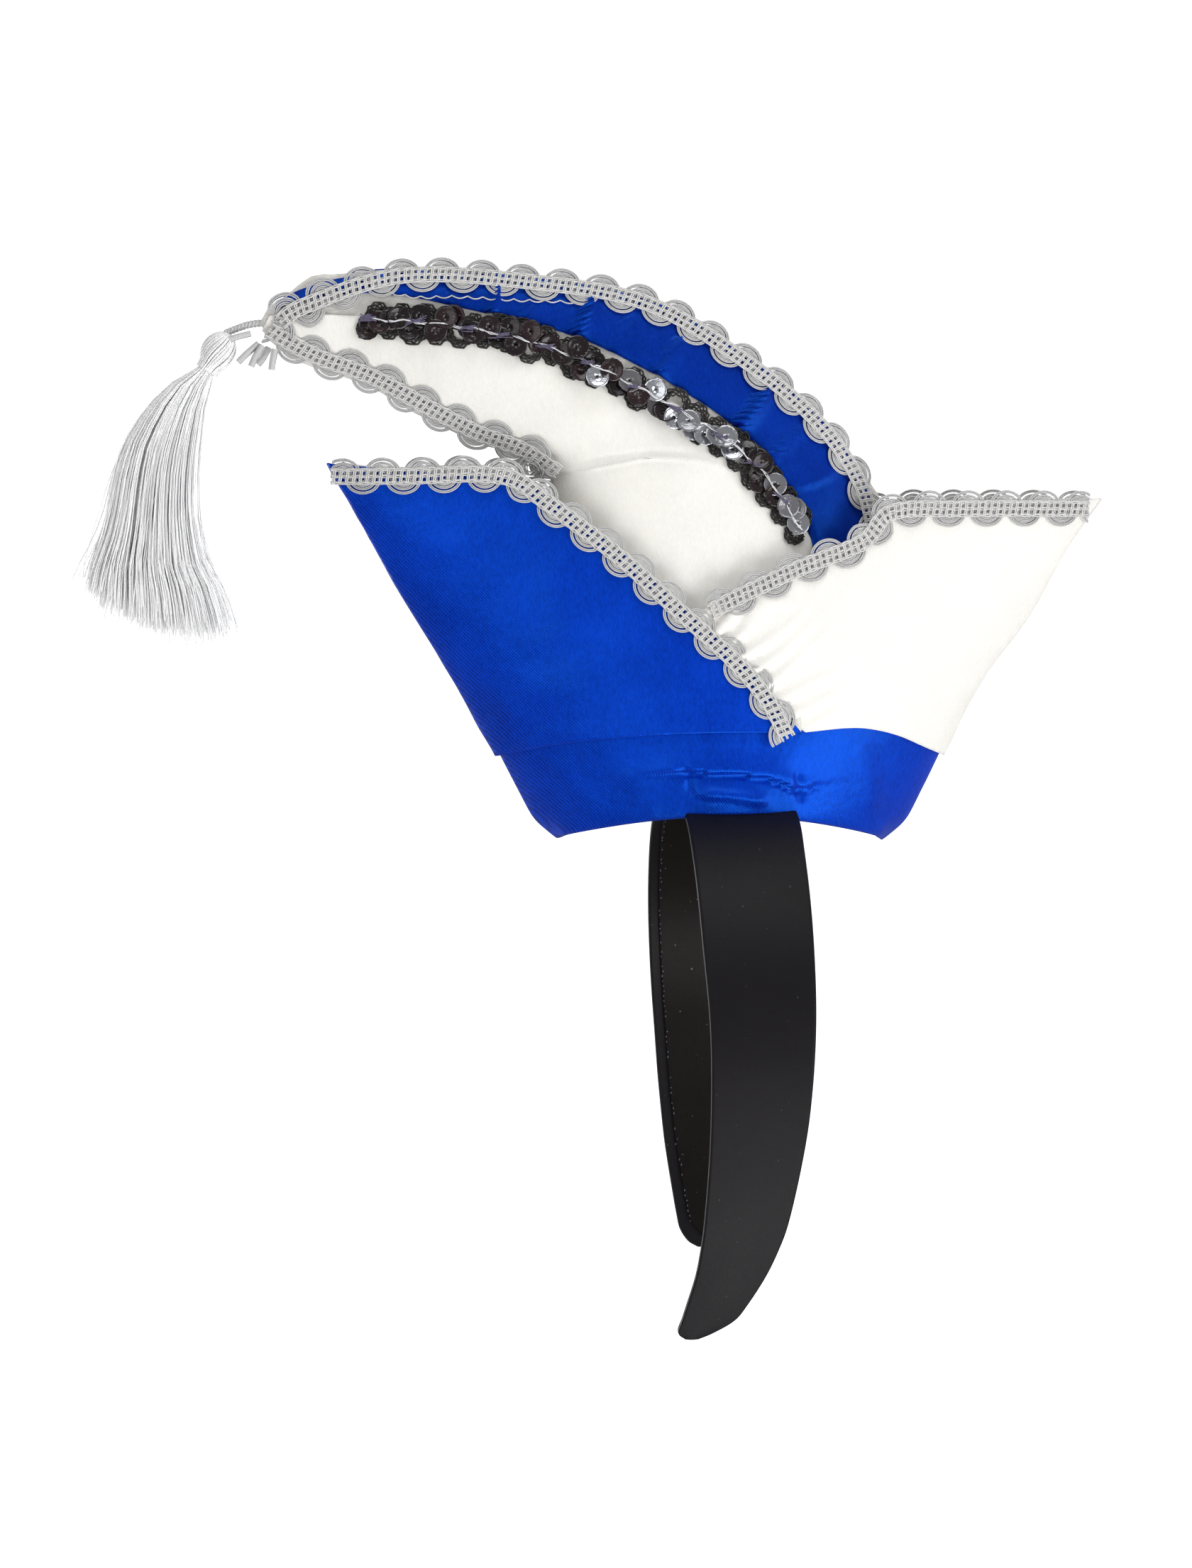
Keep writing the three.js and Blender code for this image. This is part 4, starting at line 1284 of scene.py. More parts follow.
@dataclass(frozen=True)
class Crease:
    """A wrinkle along a line on the side view."""

    line: tuple
    height: float
    width: float
    step: float = 0.0

    def lift(self, points: np.ndarray) -> np.ndarray:
        """How far the wrinkle lifts the cloth at each point; step makes one side overlap."""
        off, along = nearest(points, smooth_run(self.line, 20))
        ends = np.clip(np.sin(np.pi * np.clip(along, 0.02, 0.98)) * 1.8, 0, 1)
        ridge = np.exp(-(off / self.width) ** 2)
        lap = np.exp(-np.abs(off) / (3 * self.width)) * (off > 0) * self.step
        return (self.height * ridge + lap) * ends


def mm(*points: tuple[float, float]) -> tuple:
    """Points on the side view, written in millimetres."""
    return tuple((x * MM, z * MM) for x, z in points)


@dataclass(frozen=True)
class Crown:
    """The cap's crown: two sides of felt, a blue stripe on the ridge and ivory panels below it."""

    cap: CapShape
    felt: float = 1.5 * MM
    satin: float = 0.45 * MM
    panel_foot: float = 1.77
    seam_depth: float = 11 * MM
    seam_show: float = 2.6 * MM
    seam_thickness: float = 1.4 * MM
    stitch_line = mm((-38, 125.8), (-41.5, 126.5), (-54.2, 127.0), (-68.7, 127.6), (-78.5, 127.7),
                     (-86.9, 129.2))
    stitch_pitch: float = 3.9 * MM
    stripe_tucks = (
        Crease(mm((-60, 132), (-60, 126), (-62, 120)), -0.45 * MM, 0.6 * MM, 2.0 * MM),
        Crease(mm((-50, 131), (-51, 125), (-53, 118)), -0.3 * MM, 0.6 * MM, 0.7 * MM),
        Crease(mm((-36, 128), (-38, 121), (-40, 115)), -0.45 * MM, 0.6 * MM, 2.6 * MM),
        Crease(mm((-26, 125), (-27, 119), (-30, 112)), -0.3 * MM, 0.7 * MM, 0.6 * MM),
        Crease(mm((9, 106), (4.6, 99), (0, 93)), -0.45 * MM, 0.7 * MM, 3.2 * MM),
        Crease(mm((-12, 119), (-16, 112), (-20, 106)), -0.35 * MM, 0.8 * MM, 1.4 * MM),
        Crease(mm((20, 97), (14, 92), (8, 86)), -0.35 * MM, 0.7 * MM, 1.1 * MM),
        Crease(mm((30, 86), (23, 82), (16, 79)), 0.5 * MM, 1.4 * MM),
        Crease(mm((-84, 131), (-84, 127), (-85, 123)), -0.3 * MM, 0.6 * MM, 0.5 * MM),
        Crease(mm((-70, 133), (-70, 127), (-72, 121)), -0.3 * MM, 0.6 * MM, 0.5 * MM),
    )
    panel_folds = (
        Crease(mm((-43, 83.2), (-36, 83.3), (-27, 85.4), (-18, 86.8), (-9, 86), (1, 83)), 0.35 * MM, 0.6 * MM,
               1.1 * MM),
        Crease(mm((-40, 85.4), (-28, 87.6), (-17, 88.6), (-6, 87.4)), -0.35 * MM, 0.7 * MM),
        Crease(mm((-52, 94), (-40, 96), (-28, 97)), 0.35 * MM, 2.6 * MM),
        Crease(mm((-75, 104), (-62, 108), (-50, 108)), 0.3 * MM, 2.4 * MM),
        Crease(mm((-30, 66), (-12, 66), (4, 72)), 0.3 * MM, 5 * MM),
    )

    def stripe_slack(self, points: np.ndarray, hand: np.ndarray) -> np.ndarray:
        """The stripe's tucks, which differ a little from side to side."""
        moved = points + np.where(hand > 0, 0, 6 * MM)[:, None]
        return sum(tuck.lift(moved) for tuck in self.stripe_tucks) + ripple(moved, 12 * MM, 3) * 0.22 * MM

    def panel_slack(self, points: np.ndarray, hand: np.ndarray) -> np.ndarray:
        """The panels' folds and slack."""
        moved = points + np.where(hand > 0, 0, 4 * MM)[:, None]
        return sum(fold.lift(moved) for fold in self.panel_folds) + ripple(moved, 22 * MM, 5) * 0.25 * MM

    def build(self, wear: Wardrobe) -> None:
        """Makes the felt, the panels and the stripe."""
        shell = self.cap.crown()
        tip = shell.last + 1
        for side in Side:
            self.felt_side(shell, tip, side, wear)
            self.panel(shell, side, wear)
        places = np.linspace(self.panel_foot, shell.last, 240)
        edge = self.turn_at(shell, self.cap.stripe_edge(), places)
        low = np.stack([places, edge], 1)
        high = np.stack([places, np.full(240, math.pi)], 1)
        stripe = StripePanel("crest_stripe_satin", shell, low, high, self.cap.crest_rise, self.satin, 400, 30,
                             slack=self.stripe_slack)
        stripe.build(wear.stripe, "blue_satin", ["crest_stripe"], Held.STRETCHED,
                     ["crown_felt_side_near", "crown_felt_side_far"])
        self.seam(shell, wear)
        self.stitching(shell, wear)

    def felt_side(self, shell: FoldedShell, tip: float, side: Side, wear: Wardrobe) -> None:
        """One side of the felt crown, from the rim to the rounded tip."""
        places = np.linspace(0, tip, 240)
        low = np.stack([places, np.full(240, 0.0)], 1)
        high = np.stack([places, np.full(240, math.pi)], 1)
        felt = Panel(f"crown_felt_side_{side.label}", shell, low, high, 0, self.felt, 90, 26, side=side)
        rests = "headband_satin"
        felt.build(wear.felt, "white_felt", [f"crown_felt_{side.label}"], Held.STRETCHED, [rests])

    def panel(self, shell: FoldedShell, side: Side, wear: Wardrobe) -> None:
        """One ivory panel, from the front seam to just under the beads."""
        places = np.linspace(self.panel_foot, shell.last, 240)
        beads = self.turn_at(shell, self.cap.bead_line(), places) + 0.05
        low = np.stack([places, np.full(240, 0.16)], 1)
        high = np.stack([places, beads], 1)
        panel = Panel(f"crest_panel_satin_{side.label}", shell, low, high, self.cap.crest_rise, self.satin,
                      250, 36, side=side, slack=self.panel_slack)
        panel.build(wear.ivory, "ivory_satin", [f"crest_panel_{side.label}"], Held.STRETCHED,
                    [f"crown_felt_side_{side.label}"])

    def seam(self, shell: FoldedShell, wear: Wardrobe) -> None:
        """The felt's seam edge inside the ridge, which shows past the satin at both ends."""
        low, high = 3.0, shell.last - 0.3

        def shape(s: np.ndarray, t: np.ndarray) -> np.ndarray:
            """Points of the seam's middle, s along the ridge and t outward."""
            place = low + (high - low) * s
            ends = np.exp(-((s - 0.06) / 0.09) ** 2) + 0.8 * np.exp(-((s - 0.93) / 0.06) ** 2)
            row = shell.row(place)
            along = row[:, 2:4] - row[:, :2]
            along /= np.linalg.norm(along, axis=1)[:, None]
            fold = shell.flat(place, np.ones(len(s)), self.cap.crest_rise)
            frill = 0.25 * MM * ripple(np.stack([s * 0.2, t * 0], 1), 4 * MM, 31)
            reach = -self.seam_depth + (self.seam_depth - 0.6 * MM + ends * self.seam_show + frill) * t
            point = fold + along * reach[:, None]
            return np.stack([point[:, 0], 0.3 * MM * ripple(point, 9 * MM, 37), point[:, 1]], 1)

        bm = bmesh.new()
        place_grid(bm, 160, 8, shape)
        face_outward(bm, Vector((0, 1, 0)))
        area = sum(f.calc_area() for f in bm.faces)
        seam = to_object("ridge_seam_felt", bm, wear.felt)
        thicken(seam, self.seam_thickness)
        settle(seam)
        length = area / self.seam_depth

    def stitching(self, shell: FoldedShell, wear: Wardrobe) -> None:
        """The chain of silver thread over the stripe, below the ridge braid."""
        for side in Side:
            track = Track.over(shell, self.cap.crest_rise, np.array(self.stitch_line), 2 * MM, 0.3,
                               0.3 * MM, side)
            along = np.arange(0, track.length, 0.4 * MM)
            hump = np.abs(np.sin(math.pi * along / self.stitch_pitch))
            drift = 0.25 * MM * np.sin(along * 60) + 0.15 * MM * np.sin(along * 173)
            path = np.stack([along, drift + 0.75 * MM * hump, 0.1 * MM + 0.2 * MM * hump], 1)
            thread = thread_mesh("stitch", [track.lay(path)], 0.17 * MM, 4)
            piece = thread_object(f"stripe_stitching_{side.label}", [thread], [wear.braid_core])
            settle(piece)

    @staticmethod
    def turn_at(shell: FoldedShell, line: np.ndarray, places: np.ndarray) -> np.ndarray:
        """The turn of a line over the crown at each place, held level past its ends."""
        points = smooth_run(line, 300)
        place, turn = shell.find(points[:, :2])
        order = np.argsort(place)
        return np.interp(places, place[order], turn[order])


@dataclass(frozen=True)
class StripePanel(Panel):
    """The stripe, which goes over the ridge from the near edge to the far one."""

    def shape(self, s: np.ndarray, t: np.ndarray, slack: bool = True) -> np.ndarray:
        """Points of the stripe, s from its foot to the tip and t across the ridge."""
        hand = np.where(t < 0.5, 1, -1)
        inward = np.abs(2 * t - 1)
        spot = between(self.low, s) * inward[:, None] + between(self.high, s) * (1 - inward)[:, None]
        place, turn = spot[:, 0], spot[:, 1] * hand
        grow = np.full(len(s), self.grow)
        if slack and self.slack is not None:
            flat = self.shell.on(place, turn)
            grow = grow + self.slack(flat[:, [0, 2]], hand)
        return self.shell.on(place, turn, grow)


@dataclass(frozen=True)
class Cuff:
    """The folded cuff: a blue band round the rim, a blue front flap and an ivory rear flap."""

    cap: CapShape
    satin: float = 0.5 * MM
    felt: float = 1.5 * MM
    felt_depth: float = 1.3 * MM
    base_depth: float = 1.3 * MM
    base_creases = (
        Crease(mm((-24, 7.2), (-17, 8.4), (-9, 8.6), (2, 8), (10, 6.8), (17, 4.4), (26, 5.6)), -1.3 * MM,
               0.9 * MM, 2.4 * MM),
        Crease(mm((-14, 11.5), (-11.5, 8), (-11.5, 2)), -0.8 * MM, 1.0 * MM),
        Crease(mm((16.5, 9.5), (17, 5), (18.6, 0.5)), -0.9 * MM, 1.0 * MM),
        Crease(mm((-11, 3.6), (0, 3), (10, 1)), 1.3 * MM, 1.6 * MM),
        Crease(mm((30, 17), (36, 8), (38, -4)), 0.6 * MM, 3.6 * MM),
        Crease(mm((-46, 12), (-38, 2), (-33, -6)), 0.3 * MM, 3.0 * MM),
        Crease(mm((-28, 10), (-22, 2), (-18, -2)), 0.4 * MM, 3.0 * MM),
    )
    front_creases = (
        Crease(mm((-57, 12), (-50, 19), (-44, 22)), -0.35 * MM, 1.2 * MM),
        Crease(mm((-60, 20), (-48, 28), (-30, 30)), 0.5 * MM, 5.0 * MM),
        Crease(mm((-90, 74), (-74, 66), (-60, 64)), 0.35 * MM, 4.0 * MM),
        Crease(mm((-40, 66), (-44, 52), (-40, 38)), 0.4 * MM, 5.0 * MM),
    )
    rear_creases = (
        Crease(mm((-2, 46), (8, 50), (20, 51)), 0.35 * MM, 1.6 * MM),
        Crease(mm((52, 13), (60, 25), (70, 33)), 0.3 * MM, 3.0 * MM),
        Crease(mm((24, 56), (40, 58), (60, 64)), 0.3 * MM, 5.0 * MM),
    )
    corner_pull: float = 2.4 * MM
    corner_reach: float = 4 * MM
    rim_roll: float = 0.9 * MM
    rim_reach: float = 0.9 * MM
    gather_pitch: float = 4.4 * MM
    gather_reach: float = 9 * MM
    gather_height: float = 0.75 * MM

    def front_slack(self, points: np.ndarray, hand: np.ndarray) -> np.ndarray:
        """The front flap's creases and slack."""
        moved = points + np.where(hand > 0, 0, 5 * MM)[:, None]
        slack = ripple(moved, 26 * MM, 11) * 0.4 * MM + ripple(moved, 9 * MM, 12) * 0.08 * MM
        return sum(c.lift(moved) for c in self.front_creases) + slack

    def rear_slack(self, points: np.ndarray, hand: np.ndarray) -> np.ndarray:
        """The rear flap's gathers along the slanting seam, its creases and slack."""
        off, along = nearest(points, self.cap.front_edge()[2:])
        pleats = np.sin(TAU * along * 58 * MM / self.gather_pitch + 2.2 * ripple(points, 20 * MM, 8))
        gathers = self.gather_height * pleats * np.exp(-np.abs(off) / self.gather_reach)
        gathers *= np.clip(along * 4 - 0.6, 0, 1)
        moved = points + np.where(hand > 0, 0, 3 * MM)[:, None]
        return gathers + sum(c.lift(moved) for c in self.rear_creases) + ripple(moved, 24 * MM, 13) * 0.3 * MM

    def base_slack(self, points: np.ndarray, hand: np.ndarray) -> np.ndarray:
        """The base band's tucks over the hoop and its slack."""
        moved = points + np.where(hand > 0, 0, 3 * MM)[:, None]
        folds = sum(c.lift(moved) for c in self.base_creases) + ripple(moved, 15 * MM, 17) * 0.25 * MM
        rim = self.cap.cuff().flat(np.zeros(60), np.linspace(-1, 1, 60), 0)
        off, _ = nearest(points, rim)
        for corner in (rim[0], rim[-1]):
            away = np.linalg.norm(points - corner, axis=1)
            folds -= self.corner_pull * np.exp(-(away / self.corner_reach) ** 2)
        return folds - self.rim_roll * np.exp(-np.abs(off) / self.rim_reach)

    def front_hem(self, rise: float) -> np.ndarray:
        """The front flap's lower edge, from the fold to its foot."""
        return smooth_run(self.cap.drawn(self.cap.front_bottom) + (0, rise), 60)

    def rear_hem(self, rise: float) -> np.ndarray:
        """The rear flap's lower edge, from its foot to the fold."""
        return smooth_run(self.cap.drawn(self.cap.rear_bottom) + (2 * self.cap.gap, rise), 60)

    def front_top(self, drop: float) -> np.ndarray:
        """The front flap's upper edges: from the tip along the top, then down the slant."""
        level = np.array([(-0.994 * self.cap.front_reach, 0.988 * self.cap.front_height)])
        return np.vstack([level - (0, drop), self.cap.front_cut() - (drop, drop)])

    def rear_low(self, rise: float) -> np.ndarray:
        """The rear flap's lower edges: down beside the front flap, then along the hem."""
        slant = beside(self.cap.front_cut(), self.cap.gap)
        hem = self.rear_hem(rise)
        start = self.rear_top(0)[0]
        shared = slant[(slant[:, 1] < start[1]) & (slant[:, 1] > hem[0, 1] + self.cap.gap)]
        return np.vstack([start, shared, hem])

    def rear_top(self, drop: float) -> np.ndarray:
        """The rear flap's upper edges: up the slant, then along the top to the tip."""
        slant = beside(smooth_run(self.cap.rear_edge(), 60), -self.cap.rear_ease)
        cut = beside(self.cap.front_cut(), self.cap.gap)
        start = [np.interp(-slant[0, 1], -cut[:, 1], cut[:, 0]), slant[0, 1]]
        tip = [0.995 * self.cap.rear_reach, 0.992 * self.cap.rear_height]
        return np.vstack([start, slant, tip]) - (0, drop)

    def build(self, wear: Wardrobe) -> None:
        """Makes the band, the flaps and the felt inside them."""
        shell = self.cap.cuff()
        tuck = self.cap.tuck + self.cap.gap
        front_low = shell.border(self.front_hem(0), at_front=True)
        front_high = shell.border(self.front_top(0), at_front=True)
        front = Panel("front_flap_satin", shell, front_low, front_high, 0, self.satin, 240, 70, True,
                      slack=self.front_slack)
        front.build(wear.blue, "blue_satin", ["front_flap"], Held.FOLDED, ["base_band_satin"])
        felt_low = shell.border(self.front_hem(tuck), at_front=True)
        felt = Panel("front_flap_lining_felt", shell, felt_low, front_high, -self.felt_depth, self.felt,
                     120, 26, True)
        felt.build(wear.felt, "white_felt", ["front_flap_felt"], Held.FOLDED, ["front_flap_satin"])
        rear_low = shell.border(self.rear_low(0), at_rear=True)
        rear_high = shell.border(self.rear_top(0), at_rear=True)
        rear = RearPanel("rear_flap_satin", shell, rear_low, rear_high, 0, self.satin, 240, 70, True,
                         slack=self.rear_slack)
        rear.build(wear.ivory, "ivory_satin", ["rear_flap"], Held.GATHERED, ["base_band_satin"])
        rear_felt_low = shell.border(self.rear_low(tuck), at_rear=True)
        rear_felt = RearPanel("rear_flap_lining_felt", shell, rear_felt_low, rear_high, -self.felt_depth,
                              self.felt, 120, 26, True)
        rear_felt.build(wear.felt, "white_felt", ["rear_flap_felt"], Held.FOLDED, ["rear_flap_satin"])
        self.base_band(shell, wear)

    def base_band(self, shell: FoldedShell, wear: Wardrobe) -> None:
        """The blue band between the rim and the folds of the flaps."""
        top = np.vstack([self.front_hem(self.cap.tuck), self.rear_hem(self.cap.tuck)[1:]])
        high = shell.border(top, at_front=True, at_rear=True)
        low = np.stack([np.zeros(240), np.linspace(0, math.pi, 240)], 1)
        rim = shell.on(low[:, 0], low[:, 1])
        length = np.r_[0, np.cumsum(np.linalg.norm(np.diff(rim, axis=0), axis=1))]
        low[:, 1] = np.interp(np.linspace(0, length[-1], 240), length, low[:, 1])
        band = Panel("base_band_satin", shell, low, high, -self.base_depth, self.satin * 2, 380, 38, True,
                     slack=self.base_slack)
        band.build(wear.blue, "blue_satin", ["base_band"], Held.STRETCHED, ["headband_satin"])


@dataclass(frozen=True)
class RearPanel(Panel):
    """A panel whose borders run toward the rear fold, which it wraps round."""

    def shape(self, s: np.ndarray, t: np.ndarray, slack: bool = True) -> np.ndarray:
        """Points of the panel, s from its near end round the rear fold to its far end."""
        along = 1 - np.abs(2 * s - 1)
        hand = np.where(s < 0.5, 1, -1)
        spot = between(self.low, along) * (1 - t)[:, None] + between(self.high, along) * t[:, None]
        place, turn = spot[:, 0], spot[:, 1] * hand
        grow = np.full(len(s), self.grow)
        if slack and self.slack is not None:
            flat = self.shell.on(place, turn)
            grow = grow + self.slack(flat[:, [0, 2]], hand)
        return self.shell.on(place, turn, grow)


# Trims

@dataclass(frozen=True)
class Track:
    """A flat strip's way over a shell: its middle, and its own three directions."""

    centre: np.ndarray
    across: np.ndarray
    up: np.ndarray
    length: float

    @classmethod
    def over(cls, shell: FoldedShell, grow: float, route: np.ndarray, width: float, tilt: float,
             clearance: float, side: Side, end_lift: float = 0.0) -> "Track":
        """Lays a strip on a shell.

        Args:
            shell: The shell.
            grow: How far outside it the cloth's face is.
            route: The strip's mid-line on the side view.
            width: The strip's width.
            tilt: The most that it leans over an edge, as a share of its width.
            clearance: How far off the cloth it lies.
            side: Which side of the cap.
            end_lift: How much further off the cloth its first millimetres lie.

        Returns:
            The track.
        """
        rough = smooth_run(route, 400)
        length = np.linalg.norm(np.diff(rough, axis=0), axis=1).sum()
        points = even_run(rough, max(8, round(length / MM)) + 1)
        along = np.gradient(points, axis=0)
        along /= np.linalg.norm(along, axis=1)[:, None]
        left = np.stack([-along[:, 1], along[:, 0]], 1)
        middle = shell.depth(points, grow)
        edges = [points + left * hand * width / 2 for hand in (1, -1)]
        depths = [np.maximum(shell.depth(edge, grow), middle - width * tilt) for edge in edges]
        lift = np.zeros(len(points))
        for share in (0.25, 0.5, 0.75):
            probe = shell.depth(edges[0] + (edges[1] - edges[0]) * share, grow)
            lift = np.maximum(lift, probe - (depths[0] + (depths[1] - depths[0]) * share))
        way = np.linspace(0, length, len(points))
        lift += clearance + end_lift * np.exp(-(way / (9 * MM)) ** 4)
        hand = side.value
        ends = [np.stack([e[:, 0], hand * (d + lift), e[:, 1]], 1) for e, d in zip(edges, depths)]
        across = (ends[0] - ends[1]) / np.linalg.norm(ends[0] - ends[1], axis=1)[:, None]
        forward = np.stack([along[:, 0], np.zeros(len(along)), along[:, 1]], 1)
        up = np.cross(forward, across)
        up *= np.sign(up[:, 1] * hand)[:, None]
        up /= np.linalg.norm(up, axis=1)[:, None]
        return cls((ends[0] + ends[1]) / 2, across, up, length)

    def lay(self, local: np.ndarray) -> np.ndarray:
        """Points on the track, from distances along, across and up."""
        at = np.linspace(0, self.length, len(self.centre))
        centre, across, up = (
            np.stack([np.interp(local[:, 0], at, column) for column in run.T], 1)
            for run in (self.centre, self.across, self.up)
        )
        return centre + across * local[:, 1:2] + up * local[:, 2:3]


@dataclass(frozen=True)
class ScrollBraid:
    """Scroll gimp: pairs of cords in S-curves, held by a narrow woven ladder down the middle."""

    name: str
    nodes: tuple[str, ...]
    track: Track
    half_pitch: float = 5.05 * MM
    cord: float = 0.21 * MM
    radii: tuple[float, ...] = (4.4 * MM, 3.96 * MM, 3.2 * MM, 2.78 * MM)
    rise: float = 0.7 * MM
    spread: float = 0.87
    flare: float = 0.0
    flare_length: float = 26 * MM
    curls: tuple[float, ...] = ()
    curl_place: tuple[float, float] = (6.4 * MM, 3.4 * MM)
    ladder_half: float = 1.7 * MM
    rung_pitch: float = 1.68 * MM
    rung_lean: float = 0.3 * MM
    warp: float = 0.24 * MM

    def scroll(self, radius: float, first: int) -> np.ndarray:
        """One cord: half circles, first to one side and then to the other.

        Args:
            radius: Its radius in the lobes of its own side. In the others it is the rest of the pitch.
            first: Which side its wide lobes lie on, 0 or 1.

        Returns:
            Its points, as distances along, across and up.
        """
        lobes = int(self.track.length / self.half_pitch) + 1
        points = []
        for k in range(lobes):
            r = radius if k % 2 == first else self.half_pitch - radius
            count = max(4, round(math.pi * r / (0.7 * MM)))
            angle = np.linspace(0, math.pi, count, endpoint=False)
            side = 1 if k % 2 == 0 else -1
            height = 0.25 * MM + 0.3 * MM * np.sin(angle)
            reach = r * np.sin(angle) + self.rise * np.minimum(1, 2.5 * np.sin(angle))
            points.append(np.stack([
                (k + 0.6) * self.half_pitch - r * np.cos(angle), side * reach, height,
            ], 1))
        path = np.vstack(points)
        to_end = (path[:, 0] - self.track.length) / self.flare_length + 1
        path[:, 1] *= self.spread + self.flare * np.clip(to_end, 0, 1)
        inside = (path[:, 0] > 0) & (path[:, 0] < self.track.length)
        return path[inside]

    def curled_end(self) -> list[np.ndarray]:
        """Rings of cord where the strip's first end is bunched up and sewn down."""
        angle = np.linspace(-0.6, 5.2, 20)
        return [np.stack([
            self.curl_place[0] + r * np.cos(angle + 5 * r / MM), self.curl_place[1] + 0.85 * r * np.sin(angle + 5 * r / MM),
            0.9 * MM + 0.25 * MM * np.cos(angle * 2 + r / MM),
        ], 1) for r in self.curls]

    def ladder(self) -> list[np.ndarray]:
        """The woven middle: wavy lengthwise threads and leaning rungs in pairs."""
        along = np.arange(0, self.track.length, 0.56 * MM)
        paths = []
        for i, place in enumerate((-self.ladder_half, 0.0, self.ladder_half)):
            for hand in (-1, 1):
                wave = np.cos(TAU * along / (2 * self.rung_pitch) + math.pi * (i + (hand > 0)))
                across = place + hand * 0.2 * MM + 0.07 * MM * wave
                paths.append(np.stack([along, across, 0.72 * MM + 0.16 * MM * wave], 1))
        share = np.linspace(-1, 1, 5)
        for k in range(int(self.track.length / self.rung_pitch)):
            for twin in (-0.23 * MM, 0.23 * MM):
                middle = (k + 0.5) * self.rung_pitch + twin
                paths.append(np.stack([
                    middle + share * self.rung_lean, share * (self.ladder_half + 0.3 * MM),
                    0.86 * MM - 0.22 * MM * share ** 2,
                ], 1))
        return paths

    def build(self, wear: Wardrobe) -> None:
        """Makes the braid."""
        cords = [self.track.lay(self.scroll(r, first)) for r in self.radii for first in (0, 1)]
        cords += [self.track.lay(path) for path in self.curled_end()]
        rungs = [self.track.lay(path) for path in self.ladder()]
        meshes = [
            thread_mesh(f"{self.name}_cords", cords, self.cord, 4),
            thread_mesh(f"{self.name}_weave", rungs, self.warp, 4),
        ]
        braid = thread_object(self.name, meshes, [wear.braid, wear.braid_core])
        settle(braid, self.nodes)


@dataclass(frozen=True)
class Braids:
    """All the braids: along the ridge, under the horn, and on both flaps' edges."""

    cap: CapShape
    width: float = 9.4 * MM
    tilt: float = 1 / 9
    clearance: float = 0.1 * MM
    ridge_inset: float = 1.5 * MM
    horn_inset: float = 2.05 * MM
    front_inset: float = 4.1 * MM
    rear_inset: float = 2.9 * MM
    front_top: tuple[float, float] = (0.985, 0.8)
    front_corner = mm((-57.1, 82.4),)
    rear_top: tuple[float, float] = (0.6, 0.96)
    rear_start: float = 2 * MM
    ridge_end = mm((-105.3, 125), (-112.5, 120.5))
    horn_start = mm((-115, 119.2),)
    horn_droop = mm((0.9, -2.4), (0.6, -1.4))
    horn_lift: float = 2.6 * MM
    horn_curls: tuple[float, ...] = (3.5 * MM, 3.05 * MM, 2.3 * MM, 1.85 * MM, 1.1 * MM)
    ridge_flare: float = 0.3

    def routes(self) -> dict[str, tuple[FoldedShell, float, np.ndarray]]:
        """Each braid's shell, the height of its cloth, and its route on the side view."""
        crown, cuff = self.cap.crown(), self.cap.cuff()
        front = np.vstack([
            [(-self.cap.front_reach * s, self.cap.front_height - self.front_inset) for s in self.front_top],
            self.front_corner,
            beside(self.cap.front_edge(), -self.front_inset)[1:],
        ])
        slant = beside(self.cap.rear_edge(), -self.rear_inset)
        back = slant[0] - slant[1]
        slant[0] -= back / np.linalg.norm(back) * self.rear_start
        height = self.cap.rear_height - self.rear_inset
        rear = np.vstack([slant, [(self.cap.rear_reach * s, height) for s in self.rear_top]])
        ridge = beside(crown.rows[3:, 2:4], self.ridge_inset)[:-2]
        horn = beside(crown.rows[4:, :2], -self.horn_inset)[:-1]
        horn[:2] += self.horn_droop
        return {
            "ridge": (crown, self.cap.crest_rise, np.vstack([ridge, self.ridge_end])),
            "horn": (crown, self.cap.crest_rise, np.vstack([horn, self.horn_start])),
            "front": (cuff, 0.0, front),
            "rear": (cuff, 0.0, rear),
        }

    def build(self, wear: Wardrobe) -> None:
        """Makes each braid on both sides."""
        for word, (shell, grow, route) in self.routes().items():
            for side in Side:
                lift = self.horn_lift if word == "horn" else 0.0
                track = Track.over(shell, grow, route, self.width, self.tilt, self.clearance, side, lift)
                node = f"{word}_braid_{side.label}"
                flare = self.ridge_flare if word == "ridge" else 0.0
                curls = self.horn_curls if word == "horn" else ()
                ScrollBraid(f"{word}_gimp_{side.label}", (node,), track, flare=flare, curls=curls).build(wear)


